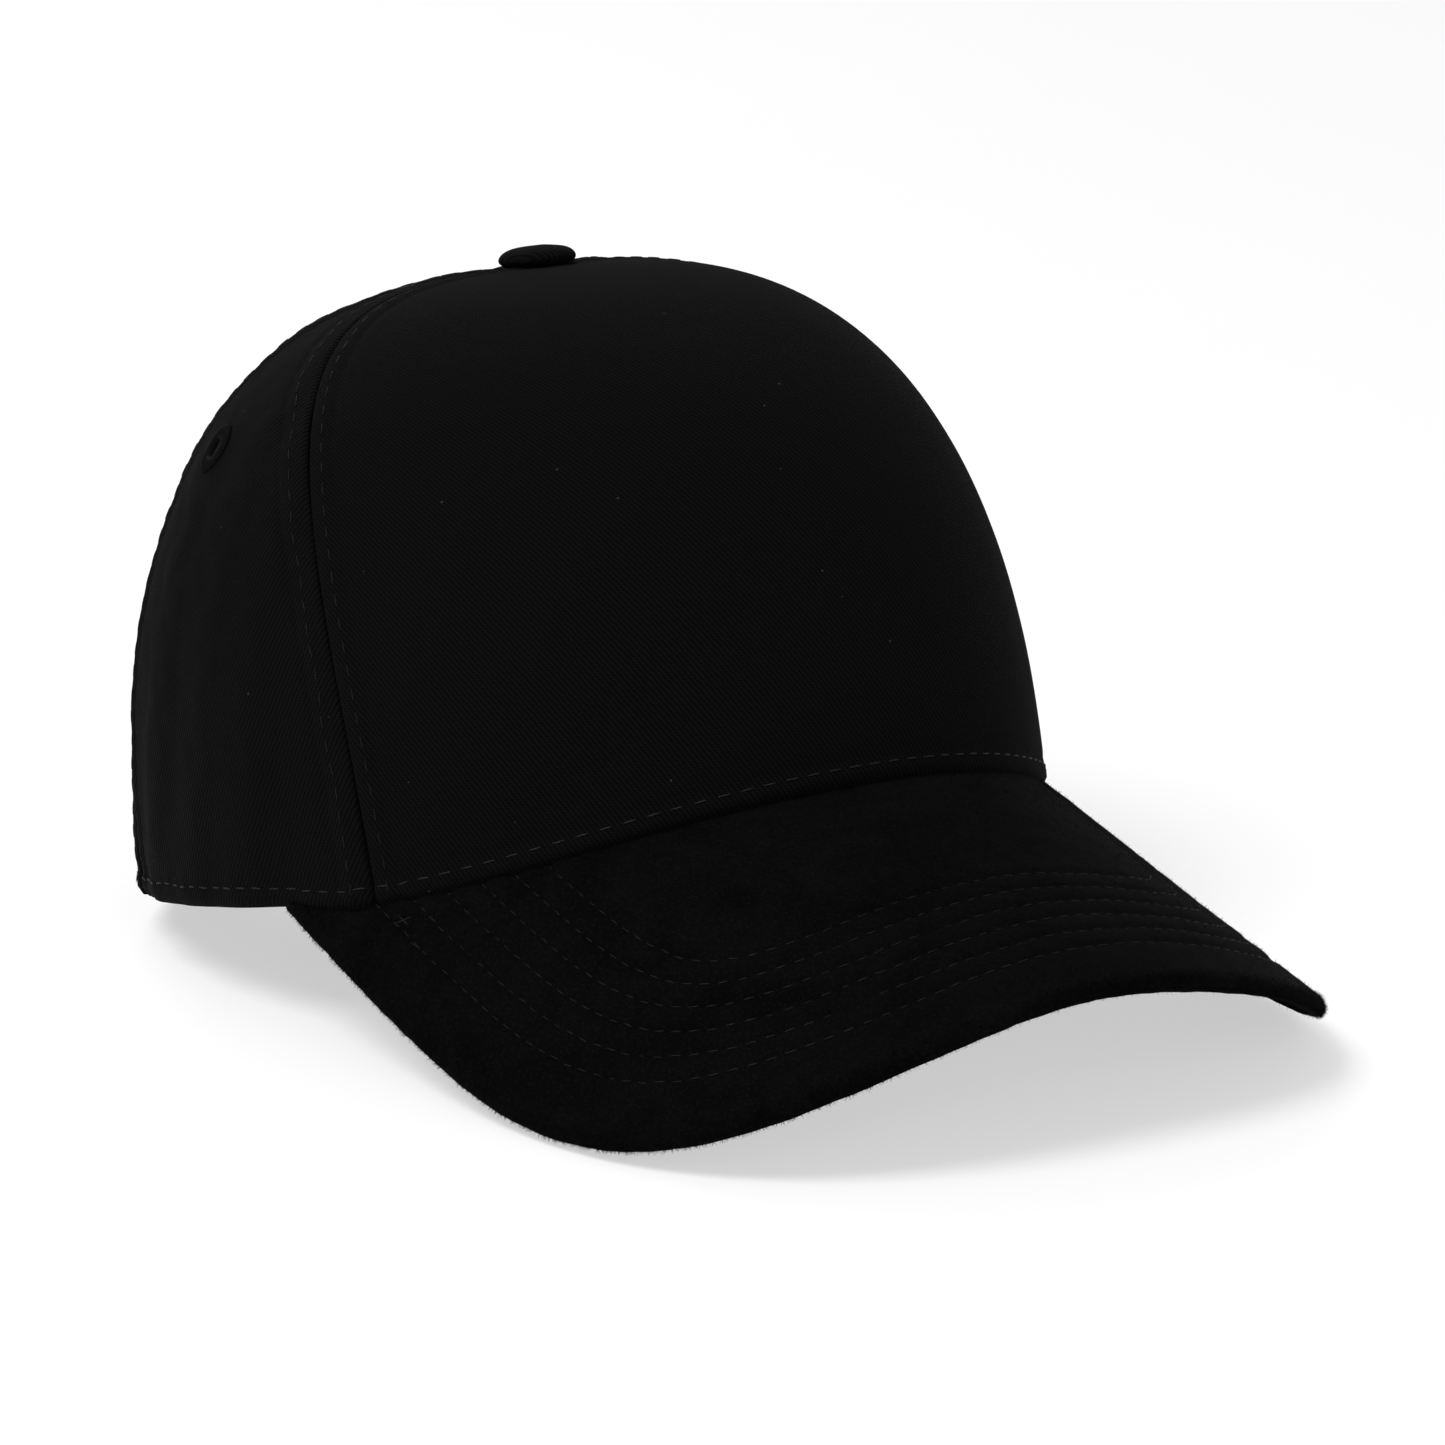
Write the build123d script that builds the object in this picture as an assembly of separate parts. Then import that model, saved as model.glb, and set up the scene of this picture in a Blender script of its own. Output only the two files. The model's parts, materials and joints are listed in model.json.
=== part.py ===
from build123d import *
import os
from math import asin, atan2, cos, degrees, pi, radians, sin, sqrt, tan

# A black five-panel cap with a suede-covered peak, built as a bump cap: a removable
# moulded shell with foam pads sits inside the cloth crown.
# The cap is drawn level: the wearer faces -Y, +X is the wearer's left, +Z is up, and
# the crown's widest section lies on z = 0.  It is laid on its rest plane at the end.

# ---- Crown, outside ----
crown_half_width = 93.9
crown_half_length = 102.0
crown_height = 123.5
crown_top_behind = 1.1              # the button sits this far behind the middle
# Each meridian is a superellipse, (reach, rise, taper), blended between three directions.
front_meridian = (2.47, 2.29, 0.023)
side_meridian = (2.90, 2.56, 0.006)
back_meridian = (2.15, 1.72, -0.047)
skirt_depth = 14.0                  # plain wall under z = 0, trimmed by the bottom edge
section_rises = (0.10, 0.20, 0.30, 0.41, 0.52, 0.63, 0.73, 0.82, 0.89, 0.94, 0.97)
section_points = 32
height_power = 0.87                # heights bunch towards the top by this power

# ---- Bottom edge, behind the peak ----
temple_angle = 75.9                 # where the peak starts, measured round from the front
temple_height = 2.6
back_height = -4.2

# ---- Seams, as angles round from the front at the bottom edge and at the button ----
front_seam_bottom_angle = 61.9
front_seam_top_angle = 102.9
front_seam_bow = -7.0
rear_seam_angle = 118.0
seam_shares = (0.94, 0.88, 0.80, 0.70, 0.55, 0.40, 0.20, 0.0)   # of the way up, as drawn in plan
seam_overrun = 60.0                 # seam curves run on past the crown's wall by this
seam_tape_width = 16.0
tape_end_radius = 18.0              # the tapes stop this far from the button's middle

# ---- Cloth and layer thicknesses ----
twill = 1.2
lining = 0.8                        # buckram and seam tapes
strap_cloth = 1.1
tab_cloth = 0.8
layer_gap = 0.05                    # between one layer of cloth and the next
sweatband_skin = 0.8
sweatband_gap = 0.2
body_gap = 0.3                      # least clearance between pieces that move apart

# ---- Peak ----
peak_slope = 23.7
peak_arc_half_angle = 54.0
peak_arc_spare = 22.0               # the surface is drawn this much wider, each side
peak_inside_crown_width = 1.5       # the peak is this much narrower than the crown, each side
peak_nose_start = 28.2              # the nose curve starts this far behind the crown's front
peak_nose_length = 104.5
peak_nose_fullness = 2.74
suede = 1.0
board = 2.0
board_inset = 1.6                    # from the covers' edge to the board
peak_edge_lean = 0.8                # the edge steps in by this much for each depth

# ---- Button ----
button_radius = 7.8
button_height = 4.0
button_cloth = 0.6
button_shank_radius = 1.6
button_hole_clearance = 0.15
button_back_radius = 8.5
button_back_thickness = 1.0
button_rim_share = 0.42             # the widest point, as a share of the height
button_shoulder = (0.72, 0.84)      # a point of the dome, as shares of radius and height
button_foot_share = 0.86            # the foot's radius, as a share of the button's

# ---- Eyelets ----
eyelet_radius = 5.6
eyelet_barrel_radius = 3.2
eyelet_bore = 2.1
eyelet_stand = 0.6
eyelet_drop = 30.5                  # the eyelets' middles, below the top of the crown
eyelet_angles = {"side": 102.0, "rear": 146.0}

# ---- Rear opening and closure ----
opening_half_width = 42.0
opening_top = 48.0
opening_shoulder = 16.0             # the opening's sides are straight up to here
opening_roundness = 0.9
arch_tape_width = 7.0
strap_width = 20.0
strap_above_edge = 4.2
strap_fold_start = 45.0
strap_end = 64.0
strap_tail_end = 60.0
buckle_offset = 22.0                # the buckle's middle, from the cap's middle plane
buckle_half_length = 11.0
buckle_plate = 0.9
buckle_rail = 1.2
buckle_side_play = 0.4
buckle_play = 0.25
buckle_bar_reach = 3.0
buckle_bar_radius = 1.0
pin_radius = 0.8
pin_play = 0.08                     # a running fit, all round the pin
barrel_wall = 0.7
flap_thickness = 1.2
flap_lip_height = 2.5               # the finger lip, from the flap's underside
flap_play = 0.5
flap_lift = 0.3                     # the closed flap's barrel clears the strap by this
tab_ramp = 5.0                      # from the buckle's bar to where the tab lies on the cloth
tab_join = 1.5                      # the tab's two lengths overlap by this

# ---- Sweatband ----
sweatband_height = 34.0
sweatband_rise = 1.0                # its lower edge, above the crown's edge
sweatband_foam = 2.2
sweatband_back_end = 46.0           # it stops this far each side of the middle at the back
foam_back_end = 68.0

# ---- Protective insert ----
insert_clearance = 1.2              # from the sweatband's face to the shell
shell_wall = 2.0
shell_front_edge = 44.0
shell_side_edge = 36.0
shell_rear_edge = 62.0
trim_lip = 0.5
trim_height = 4.0
trim_drop = 1.0
pad_thickness = 4.0
vent_radius = 6.0
# Rows of vents, by how far they are below the top of the crown, at these angles.
vent_rows = {51.5: (24.0, 72.0, 108.0, 156.0), 25.5: (0.0, 48.0, 90.0, 132.0, 180.0)}
crown_pad_drop = 24.5
# Pads: angles from and to, rise from the shell's edge there, drop from the top of the crown.
front_pad_span = (-36.0, 36.0, 8.0, 31.5)
side_pad_span = (62.0, 116.0, 14.0, 37.5)
rear_pad_span = (152.0, 208.0, 6.0, 29.5)
dot_radius = 10.0
dot_drop = 39.5
dot_places = ((48.0, True), (132.8, False))    # angle, whether it is on the buckram
label_size = (30.0, 18.0)
label_cloth = 0.4
label_angle = 128.0
label_height = 18.0

# ---- Depths from the crown's outer surface, worked out from the thicknesses ----
lining_face = twill + layer_gap
lining_depth = lining_face + lining
inner_face = lining_depth + layer_gap
tab_depth = inner_face + tab_cloth
strap_depth = tab_depth + layer_gap
strap_back = strap_depth + strap_cloth
foam_back = inner_face + sweatband_foam
band_face = max(foam_back + layer_gap, strap_back + sweatband_gap)
band_back = band_face + sweatband_skin
shell_depth = band_back + insert_clearance
shell_back = shell_depth + shell_wall
pad_face = shell_back + layer_gap
pad_back = pad_face + pad_thickness
dot_split = strap_back
dot_back = shell_depth - layer_gap

FAR = 400.0                         # past everything
wall_reach = 10.0                   # past the crown's wall, each way


# ---------- The crown's surface ----------

def blend(phi, index):
    """A meridian constant at an angle round from the front, between front, side and back."""
    ahead = max(cos(phi), 0.0) ** 2
    behind = max(-cos(phi), 0.0) ** 2
    beside = sin(phi) ** 2
    return (ahead * front_meridian[index] + beside * side_meridian[index]
            + behind * back_meridian[index])


def reach(phi, rise):
    """How far out the crown stands at a rise of 0 (bottom) to 1 (top), before its taper."""
    return (1 - max(rise, 0.0) ** blend(phi, 1)) ** (1 / blend(phi, 0))


def crown_point(phi, z, depth=0.0):
    """The point of the crown's surface, or a surface that deep inside it, at a height."""
    rise = z / (crown_height - depth)
    out = reach(phi, rise)
    spread = out * (1 - blend(phi, 2) * max(rise, 0.0))
    x = (crown_half_width - depth) * sin(phi) * spread
    y = crown_top_behind * (1 - out) - (crown_half_length - depth) * cos(phi) * spread
    return Vector(x, y, z)


def height_at(share, depth=0.0):
    """The height of a surface at a depth, for a share of the way up a meridian."""
    return (crown_height - depth) * sin(radians(90 * share)) ** height_power


def top_height(depth):
    """The height of the small flat at the top of the surface at a depth."""
    return height_at(section_rises[-1], depth)


domes = {}


def dome(depth):
    """The solid inside the surface at a depth."""
    if depth not in domes:
        heights = [-skirt_depth, -skirt_depth / 2, 0.0]
        heights += [height_at(share, depth) for share in section_rises]
        turns = [2 * pi * i / section_points + pi for i in range(section_points)]
        rings = [Wire([Edge.make_spline([crown_point(t, z, depth) for t in turns], periodic=True)])
                 for z in heights]
        domes[depth] = Solid.make_loft(rings)
    return domes[depth]


layers = {}


def layer(outer, inner):
    """The shell of space between two depths."""
    if (outer, inner) not in layers:
        layers[(outer, inner)] = dome(outer) - dome(inner)
    return layers[(outer, inner)]


def surface_plane(phi, z, depth=0.0):
    """A plane on the surface: x runs round to the wearer's left, y up, z straight out."""
    step = 0.01
    across = crown_point(phi + step, z, depth) - crown_point(phi - step, z, depth)
    up = crown_point(phi, z + 1, depth) - crown_point(phi, z - 1, depth)
    out = across.cross(up)
    if out.dot(crown_point(phi, z, depth)) < 0:
        out = out * -1
    side = across if up.cross(out).dot(across) > 0 else across * -1
    return Plane(origin=crown_point(phi, z, depth), x_dir=side, z_dir=out)


def spoke(phi, z, radius, depth=0.0, half_length=wall_reach):
    """A cylinder through the crown's wall, square to it."""
    return surface_plane(phi, z, depth) * Cylinder(radius, 2 * half_length)


# ---------- The peak's surface and the crown's bottom edge ----------

peak_half_width = crown_half_width - peak_inside_crown_width
peak_radius = peak_half_width / sin(radians(peak_arc_half_angle))
slope = radians(peak_slope)
temple = radians(temple_angle)
temple_x = crown_half_width * sin(temple)
temple_y = -crown_half_length * cos(temple)


def arc_drop(x):
    """How far the peak's surface has dropped, in plan, at a distance from the middle."""
    return (peak_radius - sqrt(peak_radius ** 2 - x ** 2)) / cos(slope)


peak_crest = temple_height + arc_drop(temple_x) - tan(slope) * (crown_half_length + temple_y)


def peak_height(x, y):
    """The height of the peak's top surface."""
    return peak_crest + tan(slope) * (y + crown_half_length) - arc_drop(x)


peak_plane = Plane(
    origin=(0, -crown_half_length, peak_crest),
    x_dir=(1, 0, 0),
    z_dir=(0, -cos(slope), -sin(slope)),
)


def peak_sector(radius_out, radius_in):
    """A long curved slab under the peak's surface, or all below it when radius_in is 0."""
    spread = radians(peak_arc_half_angle + peak_arc_spare)

    def on_arc(radius, turn):
        return (radius * sin(turn), radius * cos(turn) - peak_radius)

    def arc(radius):
        return ThreePointArc(*[on_arc(radius, turn) for turn in (-spread, 0, spread)])

    outer = arc(radius_out)
    if radius_in:
        inner = arc(radius_in)
        edges = [outer, Line(outer @ 1, inner @ 1), inner, Line(inner @ 0, outer @ 0)]
    else:
        edges = [outer, Line(outer @ 1, outer @ 0)]
    return extrude(peak_plane * make_face(edges), amount=FAR / 2, both=True)


def side_slab(points):
    """A solid across the whole cap from an outline seen from the side, as (y, z) points."""
    return extrude(Plane.YZ * make_face(Polyline(*points, close=True)), amount=FAR / 2, both=True)


def edge_height(y):
    """The height of the crown's bottom edge behind the temples."""
    return temple_height + (back_height - temple_height) * (y - temple_y) / (crown_half_length - temple_y)


ahead_of_temple = side_slab([(temple_y, -FAR), (temple_y, FAR), (-FAR, FAR), (-FAR, -FAR)])
under_peak = peak_sector(peak_radius, 0) & ahead_of_temple
under_edge = side_slab([
    (temple_y, edge_height(temple_y)), (FAR, edge_height(FAR)), (FAR, -FAR), (temple_y, -FAR)])


def trim_bottom(part):
    """Cut a piece of the crown off at the peak's surface and at the bottom edge."""
    return part - under_peak - under_edge


# ---------- Seam lines, as plan curves that split the crown ----------

def front_seam_angle(s):
    bow = front_seam_bow * 4 * s * (1 - s)
    return radians(front_seam_top_angle * s + front_seam_bottom_angle * (1 - s) + bow)


def rear_seam(s):
    return radians(rear_seam_angle)


def back_seam(s):
    return pi


def seam_plan(angle_at, shift=0.0):
    """Plan points of a seam from the button outwards, moved sideways on the cloth by a shift."""
    points = []
    for s in seam_shares:
        z = height_at(s)
        phi = angle_at(s)
        middle = crown_point(phi, z)
        radius = sqrt(middle.X ** 2 + middle.Y ** 2)
        point = crown_point(phi + shift / max(radius, tape_end_radius), z)
        points.append((point.X, point.Y))
    return points


def seam_curve(angle_at, shift=0.0, hub=True):
    """The plan curve of a seam, run on past the crown's wall."""
    points = seam_plan(angle_at, shift)
    inner = [Line((0, crown_top_behind), points[0])] if hub else []
    curve = Spline(*points)
    last = curve @ 1
    beyond = last + (curve % 1) * seam_overrun
    return inner + [curve, Line(last, beyond)]


def plan_prism(edges):
    """A tall upright prism on a plan outline."""
    return extrude(Plane.XY.offset(-FAR / 2) * make_face(edges), amount=FAR)


def wedge(angle_from, angle_to):
    """The upright prism between two seam lines on the wearer's left."""
    first = seam_curve(angle_from)
    second = seam_curve(angle_to)
    corner = radians(degrees(angle_from(0.0) + angle_to(0.0)) / 2)
    far = (FAR / 2 * sin(corner), -FAR / 2 * cos(corner))
    rim = Polyline(first[-1] @ 1, far, second[-1] @ 1)
    return plan_prism(first + second + list(rim.edges()))


def mirrored(part):
    return mirror(part, about=Plane.YZ)


def front_middle(s):
    return 0.0


front_half = wedge(front_middle, front_seam_angle)
side_wedge = wedge(front_seam_angle, rear_seam)
rear_wedge = wedge(rear_seam, back_seam)
front_wedge = front_half + mirrored(front_half)

# ---------- Cloth panels ----------

top_hole = Pos(0, crown_top_behind, crown_height) * Cylinder(
    button_shank_radius + button_hole_clearance, crown_height / 2)


def opening(grow=0.0):
    """The arched opening at the back, as a prism that runs back from the middle."""
    half = opening_half_width + grow
    top = opening_top + grow
    side = Polyline((-half, opening_shoulder), (-half, -FAR / 4), (half, -FAR / 4),
                    (half, opening_shoulder))
    crest = Spline((half, opening_shoulder), (0, top), (-half, opening_shoulder),
                   tangents=[(0, 1), (0, -1)], tangent_scalars=[opening_roundness] * 2)
    face = Plane.XZ * make_face(list(side.edges()) + list(crest.edges()))
    return extrude(face, amount=-FAR / 2)


cut_opening = opening()
crown_cloth = trim_bottom(layer(0.0, twill)) - top_hole - cut_opening

barrels = []
eyelet_height = crown_height - eyelet_drop
for place, angle in eyelet_angles.items():
    left = spoke(radians(angle), eyelet_height, eyelet_barrel_radius)
    barrels += [left, mirrored(left)]

parts = {}
parts["front_panel"] = crown_cloth & front_wedge
side_left = (crown_cloth & side_wedge) - barrels[0]
rear_left = (crown_cloth & rear_wedge) - barrels[2]
parts["side_panel_left"] = side_left
parts["side_panel_right"] = mirrored(side_left)
parts["rear_panel_left"] = rear_left
parts["rear_panel_right"] = mirrored(rear_left)

# ---------- Eyelets: an embroidered ring over a barrel through the panel ----------

for place, angle in eyelet_angles.items():
    phi = radians(angle)
    rim = spoke(phi, eyelet_height, eyelet_radius)
    barrel = spoke(phi, eyelet_height, eyelet_barrel_radius - layer_gap)
    bore = spoke(phi, eyelet_height, eyelet_bore, half_length=2 * wall_reach)
    ring = (layer(-eyelet_stand, -layer_gap) & rim) + (layer(lining_face, lining_depth) & rim)
    eyelet = ring + (layer(-eyelet_stand, lining_depth) & barrel) - bore
    parts[f"eyelet_{place}_left"] = eyelet
    parts[f"eyelet_{place}_right"] = mirrored(eyelet)

# ---------- Buckram behind the front panel, and the tapes over the seams ----------

lining_layer = trim_bottom(layer(lining_face, lining_depth))
hub_clear = Pos(0, crown_top_behind, crown_height) * Cylinder(tape_end_radius, crown_height / 2)
arch_zone = opening(arch_tape_width)


def tape_band(angle_at):
    """The upright prism over a seam tape on the wearer's left."""
    half = seam_tape_width / 2
    one = seam_curve(angle_at, -half, hub=False)
    other = seam_curve(angle_at, half, hub=False)
    ends = [Line(one[0] @ 0, other[0] @ 0), Line(one[-1] @ 1, other[-1] @ 1)]
    return plan_prism(one + other + ends)


front_tape_band = tape_band(front_seam_angle)
front_tape = (lining_layer & front_tape_band) - hub_clear
rear_tape_band = tape_band(rear_seam)
rear_tape = (lining_layer & rear_tape_band) - hub_clear - front_tape_band
back_tape = (lining_layer & tape_band(back_seam)) - hub_clear - arch_zone
back_tape = back_tape - rear_tape_band - mirrored(rear_tape_band)
buckram = (lining_layer & front_wedge) - front_tape_band - mirrored(front_tape_band)
parts["front_buckram"] = buckram - hub_clear
parts["seam_tape_front_left"] = front_tape
parts["seam_tape_front_right"] = mirrored(front_tape)
parts["seam_tape_rear_left"] = rear_tape
parts["seam_tape_rear_right"] = mirrored(rear_tape)
parts["seam_tape_back"] = back_tape
arch_slab = side_slab([(0, -FAR), (0, FAR), (FAR, FAR), (FAR, -FAR)])
parts["arch_tape"] = (lining_layer & (arch_zone & arch_slab)) - cut_opening

# ---------- Button on top: cloth cover over a pressed cap, riveted through the crown ----------

seat = top_height(0.0) + layer_gap
inside_seat = top_height(lining_face)


def mushroom(radius, height, base):
    """A low domed disc with a rounded rim."""
    rim = (radius, base + height * button_rim_share)
    shoulder = (radius * button_shoulder[0], base + height * button_shoulder[1])
    foot = (radius * button_foot_share, base)
    outline = Spline((0, base + height), shoulder, rim, tangents=[(1, 0), (0, -1)])
    lower = Spline(rim, foot, tangents=[(0, -1), (-1, 0)])
    edges = [outline, lower, Line(lower @ 1, (0, base)), Line((0, base), (0, base + height))]
    disc = revolve(Plane.XZ * make_face(edges), axis=Axis.Z)
    return Pos(0, crown_top_behind, 0) * disc


button_hole = Pos(0, crown_top_behind, seat) * Cylinder(
    button_shank_radius, 2 * button_cloth + layer_gap)
cap_disc = mushroom(
    button_radius - button_cloth, button_height - 2 * button_cloth, seat + button_cloth)
parts["button_cover"] = mushroom(button_radius, button_height, seat) - cap_disc - button_hole
parts["button_cap"] = cap_disc
shank_foot = inside_seat - button_back_thickness
shank_length = seat + button_cloth - shank_foot
parts["button_shank"] = Pos(0, crown_top_behind, shank_foot + shank_length / 2) * Cylinder(
    button_shank_radius, shank_length)
back_disc = Pos(0, crown_top_behind, inside_seat - button_back_thickness / 2) * Cylinder(
    button_back_radius, button_back_thickness)
back_hole = Pos(0, crown_top_behind, inside_seat) * Cylinder(
    button_shank_radius, 4 * button_back_thickness)
parts["button_back"] = (back_disc & dome(lining_face)) - back_hole

# ---------- Peak: a curved board between two suede covers ----------


def peak_outline(inset=0.0):
    """The peak's edge in plan, from one temple round the nose to the other."""
    half_width = peak_half_width - inset
    length = peak_nose_length - inset
    nose_y = -(crown_half_length - peak_nose_start)
    side = []
    for step in range(4):
        t = step / 4
        start = temple_x - inset
        x = start + (half_width - start) * sin(t * pi / 2)
        side.append((x, temple_y + (nose_y - temple_y) * t))
    for step in range(12):
        psi = pi / 2 * (1 - step / 12)
        power = 2 / peak_nose_fullness
        side.append((half_width * sin(psi) ** power, nose_y - length * cos(psi) ** power))
    nose = [(0, nose_y - length)]
    return side + nose + [(-x, y) for x, y in reversed(side)]


def peak_blank(inset=0.0):
    """An upright prism on the peak's outline, open to the crown's edge."""
    points = peak_outline(inset)
    curve = Spline(*points)
    return plan_prism([curve, Line(points[-1], points[0])])


inner_ring = [crown_point(2 * pi * i / section_points, 0, lining_depth) for i in range(section_points)]
crown_inner = plan_prism([Spline(*[(point.X, point.Y) for point in inner_ring], periodic=True)])
board_back = temple_y - board_inset
board_front = side_slab([(board_back, -FAR), (board_back, FAR), (-FAR, FAR), (-FAR, -FAR)])


def blank(depth):
    """The outline of a cover at a depth below the peak's surface."""
    return peak_blank(peak_edge_lean * depth) - crown_inner


def peak_layer(outer, inner, outline):
    """The part of the peak between two depths, within an outline."""
    return peak_sector(peak_radius - outer, peak_radius - inner) & outline


board_top = suede
board_foot = suede + board
peak_thickness = 2 * suede + board
rim_seam = peak_thickness / 2
board_blank = (peak_blank(peak_edge_lean * board_foot + board_inset) - crown_inner) & board_front
parts["peak_board"] = peak_layer(board_top, board_foot, board_blank)


def peak_cover(face, back):
    """One suede cover: its sheet, and its half of the rim round the board."""
    sheet = peak_layer(min(face, back), max(face, back), blank((face + back) / 2))
    rim_outline = blank((back + rim_seam) / 2) - board_blank
    return sheet + peak_layer(min(back, rim_seam), max(back, rim_seam), rim_outline)


parts["peak_top_cover"] = peak_cover(0.0, board_top)
parts["peak_under_cover"] = peak_cover(peak_thickness, board_foot)

# ---------- Sweatband: a foam strip under a wicking face ----------


def band_slab(low, high):
    """The space between two heights above the crown's edge, which arches over the peak."""
    def edge_at(rise):
        back = Line((FAR / 2, edge_height(FAR / 2) + rise), (temple_y, temple_height + rise))
        front = TangentArc((temple_y, temple_height + rise), (-crown_half_length, peak_crest + rise),
                           tangent=back % 1)
        return back, front

    low_back, low_front = edge_at(low)
    high_back, high_front = edge_at(high)
    edges = [low_back, low_front, Line(low_front @ 1, high_front @ 1), high_front, high_back,
             Line(high_back @ 0, low_back @ 0)]
    return extrude(Plane.YZ * make_face(edges), amount=FAR / 2, both=True)


def back_gap(half_width):
    """An upright slot of space at the back of the cap."""
    return Pos(0, FAR / 4, 0) * Box(2 * half_width, FAR / 2, FAR)


sweat_slab = band_slab(sweatband_rise, sweatband_rise + sweatband_height)
parts["sweatband_foam"] = (layer(inner_face, foam_back) & sweat_slab) - back_gap(foam_back_end)
parts["sweatband_face"] = (layer(band_face, band_back) & sweat_slab) - back_gap(sweatband_back_end)

label_phi = radians(label_angle)
label_block = surface_plane(label_phi, label_height, band_back) * Box(*label_size, 2 * wall_reach)
label_face = band_back + layer_gap
parts["care_label"] = layer(label_face, label_face + label_cloth) & label_block

# ---------- Rear closure: strap, tab, and a cam buckle with a hinged flap ----------

strap_low = edge_height(crown_half_length) + strap_above_edge
strap_middle = strap_low + strap_width / 2


def strap_run(outer, inner, x_from, x_to, width):
    """A length of strap that follows the crown round the back."""
    block = Pos((x_from + x_to) / 2, FAR / 4, strap_middle) * Box(x_to - x_from, FAR / 2, width)
    return layer(outer, inner) & block


strap = strap_run(strap_depth, strap_back, -strap_end, strap_tail_end, strap_width)
strap_fold = strap_run(inner_face, strap_depth, -strap_end, -strap_fold_start, strap_width)
parts["strap"] = strap + strap_fold

buckle_phi = pi - asin(buckle_offset / crown_half_width)
buckle_seat = surface_plane(buckle_phi, strap_middle, (strap_depth + strap_back) / 2)
if buckle_seat.x_dir.X < 0:
    buckle_seat = Plane(
        origin=buckle_seat.origin, x_dir=buckle_seat.x_dir * -1, z_dir=buckle_seat.z_dir)

# In the buckle's own plane x runs along the strap to the wearer's left and z straight out.
bend_radius = crown_half_width ** 2 / crown_half_length
strap_face = strap_cloth / 2
buckle_turn = buckle_half_length / bend_radius
strap_corners = [crown_point(buckle_phi + turn, strap_middle + rise, strap_back)
                 for turn in (-buckle_turn, buckle_turn) for rise in (-strap_width / 2, strap_width / 2)]
strap_sag = -strap_face - min(buckle_seat.to_local_coords(corner).Z for corner in strap_corners)
floor_top = -strap_face - strap_sag - buckle_play
rail_in = strap_width / 2 + buckle_side_play
rail_out = rail_in + buckle_rail
barrel_radius = pin_radius + pin_play + barrel_wall
pin_height = strap_face + flap_lift + barrel_radius
pin_x = -buckle_half_length + barrel_radius + buckle_play
rail_top = pin_height + pin_radius + buckle_plate
bar_x = buckle_half_length + buckle_bar_reach
tab_radius = buckle_bar_radius + layer_gap + tab_cloth
bar_height = strap_face - bar_x ** 2 / (2 * bend_radius) + 2 * body_gap + tab_radius


def block(x, y, z):
    """A box from its limits, in the buckle's plane."""
    middle = [(low + high) / 2 for low, high in (x, y, z)]
    return Pos(*middle) * Box(*[high - low for low, high in (x, y, z)])


def cross_rod(x, z, radius, length):
    """A rod across the strap, in the buckle's plane."""
    return Pos(x, 0, z) * Rot(90, 0, 0) * Cylinder(radius, length)


rail_end = bar_x + buckle_bar_radius + buckle_plate
floor_foot = floor_top - buckle_plate
frame = block(
    (-buckle_half_length, buckle_half_length), (-rail_out, rail_out), (floor_foot, floor_top))
for side in (-1, 1):
    y_limits = sorted((side * rail_in, side * rail_out))
    frame += block((-buckle_half_length, rail_end), y_limits, (floor_foot, rail_top))
frame += cross_rod(bar_x, bar_height, buckle_bar_radius, 2 * rail_in + buckle_rail)
frame -= cross_rod(pin_x, pin_height, pin_radius, 4 * rail_out)
pin = cross_rod(pin_x, pin_height, pin_radius, 2 * rail_out)

flap_half = rail_in - flap_play
flap_end = buckle_half_length - buckle_play
flap_under = pin_height - flap_thickness / 2
flap_sides = (-flap_half, flap_half)
flap_plate = block((pin_x, flap_end), flap_sides, (flap_under, flap_under + flap_thickness))
flap_lip = block(
    (flap_end - flap_thickness, flap_end), flap_sides, (flap_under, flap_under + flap_lip_height))
flap_barrel = cross_rod(pin_x, pin_height, barrel_radius, 2 * flap_half)
flap_bore = cross_rod(pin_x, pin_height, pin_radius + pin_play, 4 * rail_out)
flap = flap_plate + flap_lip + flap_barrel - flap_bore

tab_half = strap_width / 2 - flap_play
tab_ring = cross_rod(bar_x, bar_height, tab_radius, 2 * tab_half) - cross_rod(
    bar_x, bar_height, buckle_bar_radius + layer_gap, 2 * tab_half)
tab_far = bar_x + tab_ramp


def tab_n(u, depth):
    """How far out a depth of the crown lies in the buckle's plane."""
    return (strap_depth + strap_back) / 2 - depth - u ** 2 / (2 * bend_radius)


tab_strip_outline = Polyline(
    (bar_x, bar_height - tab_radius),
    (bar_x, bar_height - buckle_bar_radius - layer_gap),
    (tab_far, tab_n(tab_far, inner_face)),
    (tab_far, tab_n(tab_far, tab_depth)),
    close=True)
tab_strip = extrude(Plane.XZ * make_face(tab_strip_outline), amount=tab_half, both=True)

parts["buckle_frame"] = buckle_seat * frame
parts["buckle_pin"] = buckle_seat * pin
parts["buckle_flap"] = buckle_seat * flap
tab_start = buckle_seat.from_local_coords(Vector(tab_far - tab_join, 0, 0)).X
tab_run = strap_run(inner_face, tab_depth, tab_start, strap_end, 2 * tab_half)
parts["strap_tab"] = (buckle_seat * (tab_ring + tab_strip)) + tab_run

# ---------- Protective insert ----------

edge_curve = Spline(
    (-FAR / 2, shell_front_edge), (-crown_half_length, shell_front_edge), (0, shell_side_edge),
    (crown_half_length, shell_rear_edge), (FAR / 2, shell_rear_edge))


def above_shell_edge(rise):
    """All the space above the insert's lower edge, raised by a rise."""
    curve = Pos(0, rise, 0) * edge_curve
    lid = Polyline(curve @ 1, (FAR / 2, FAR), (-FAR / 2, FAR), curve @ 0)
    face = make_face(list(curve.edges()) + list(lid.edges()))
    return extrude(Plane.YZ * face, amount=FAR / 2, both=True)


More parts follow.
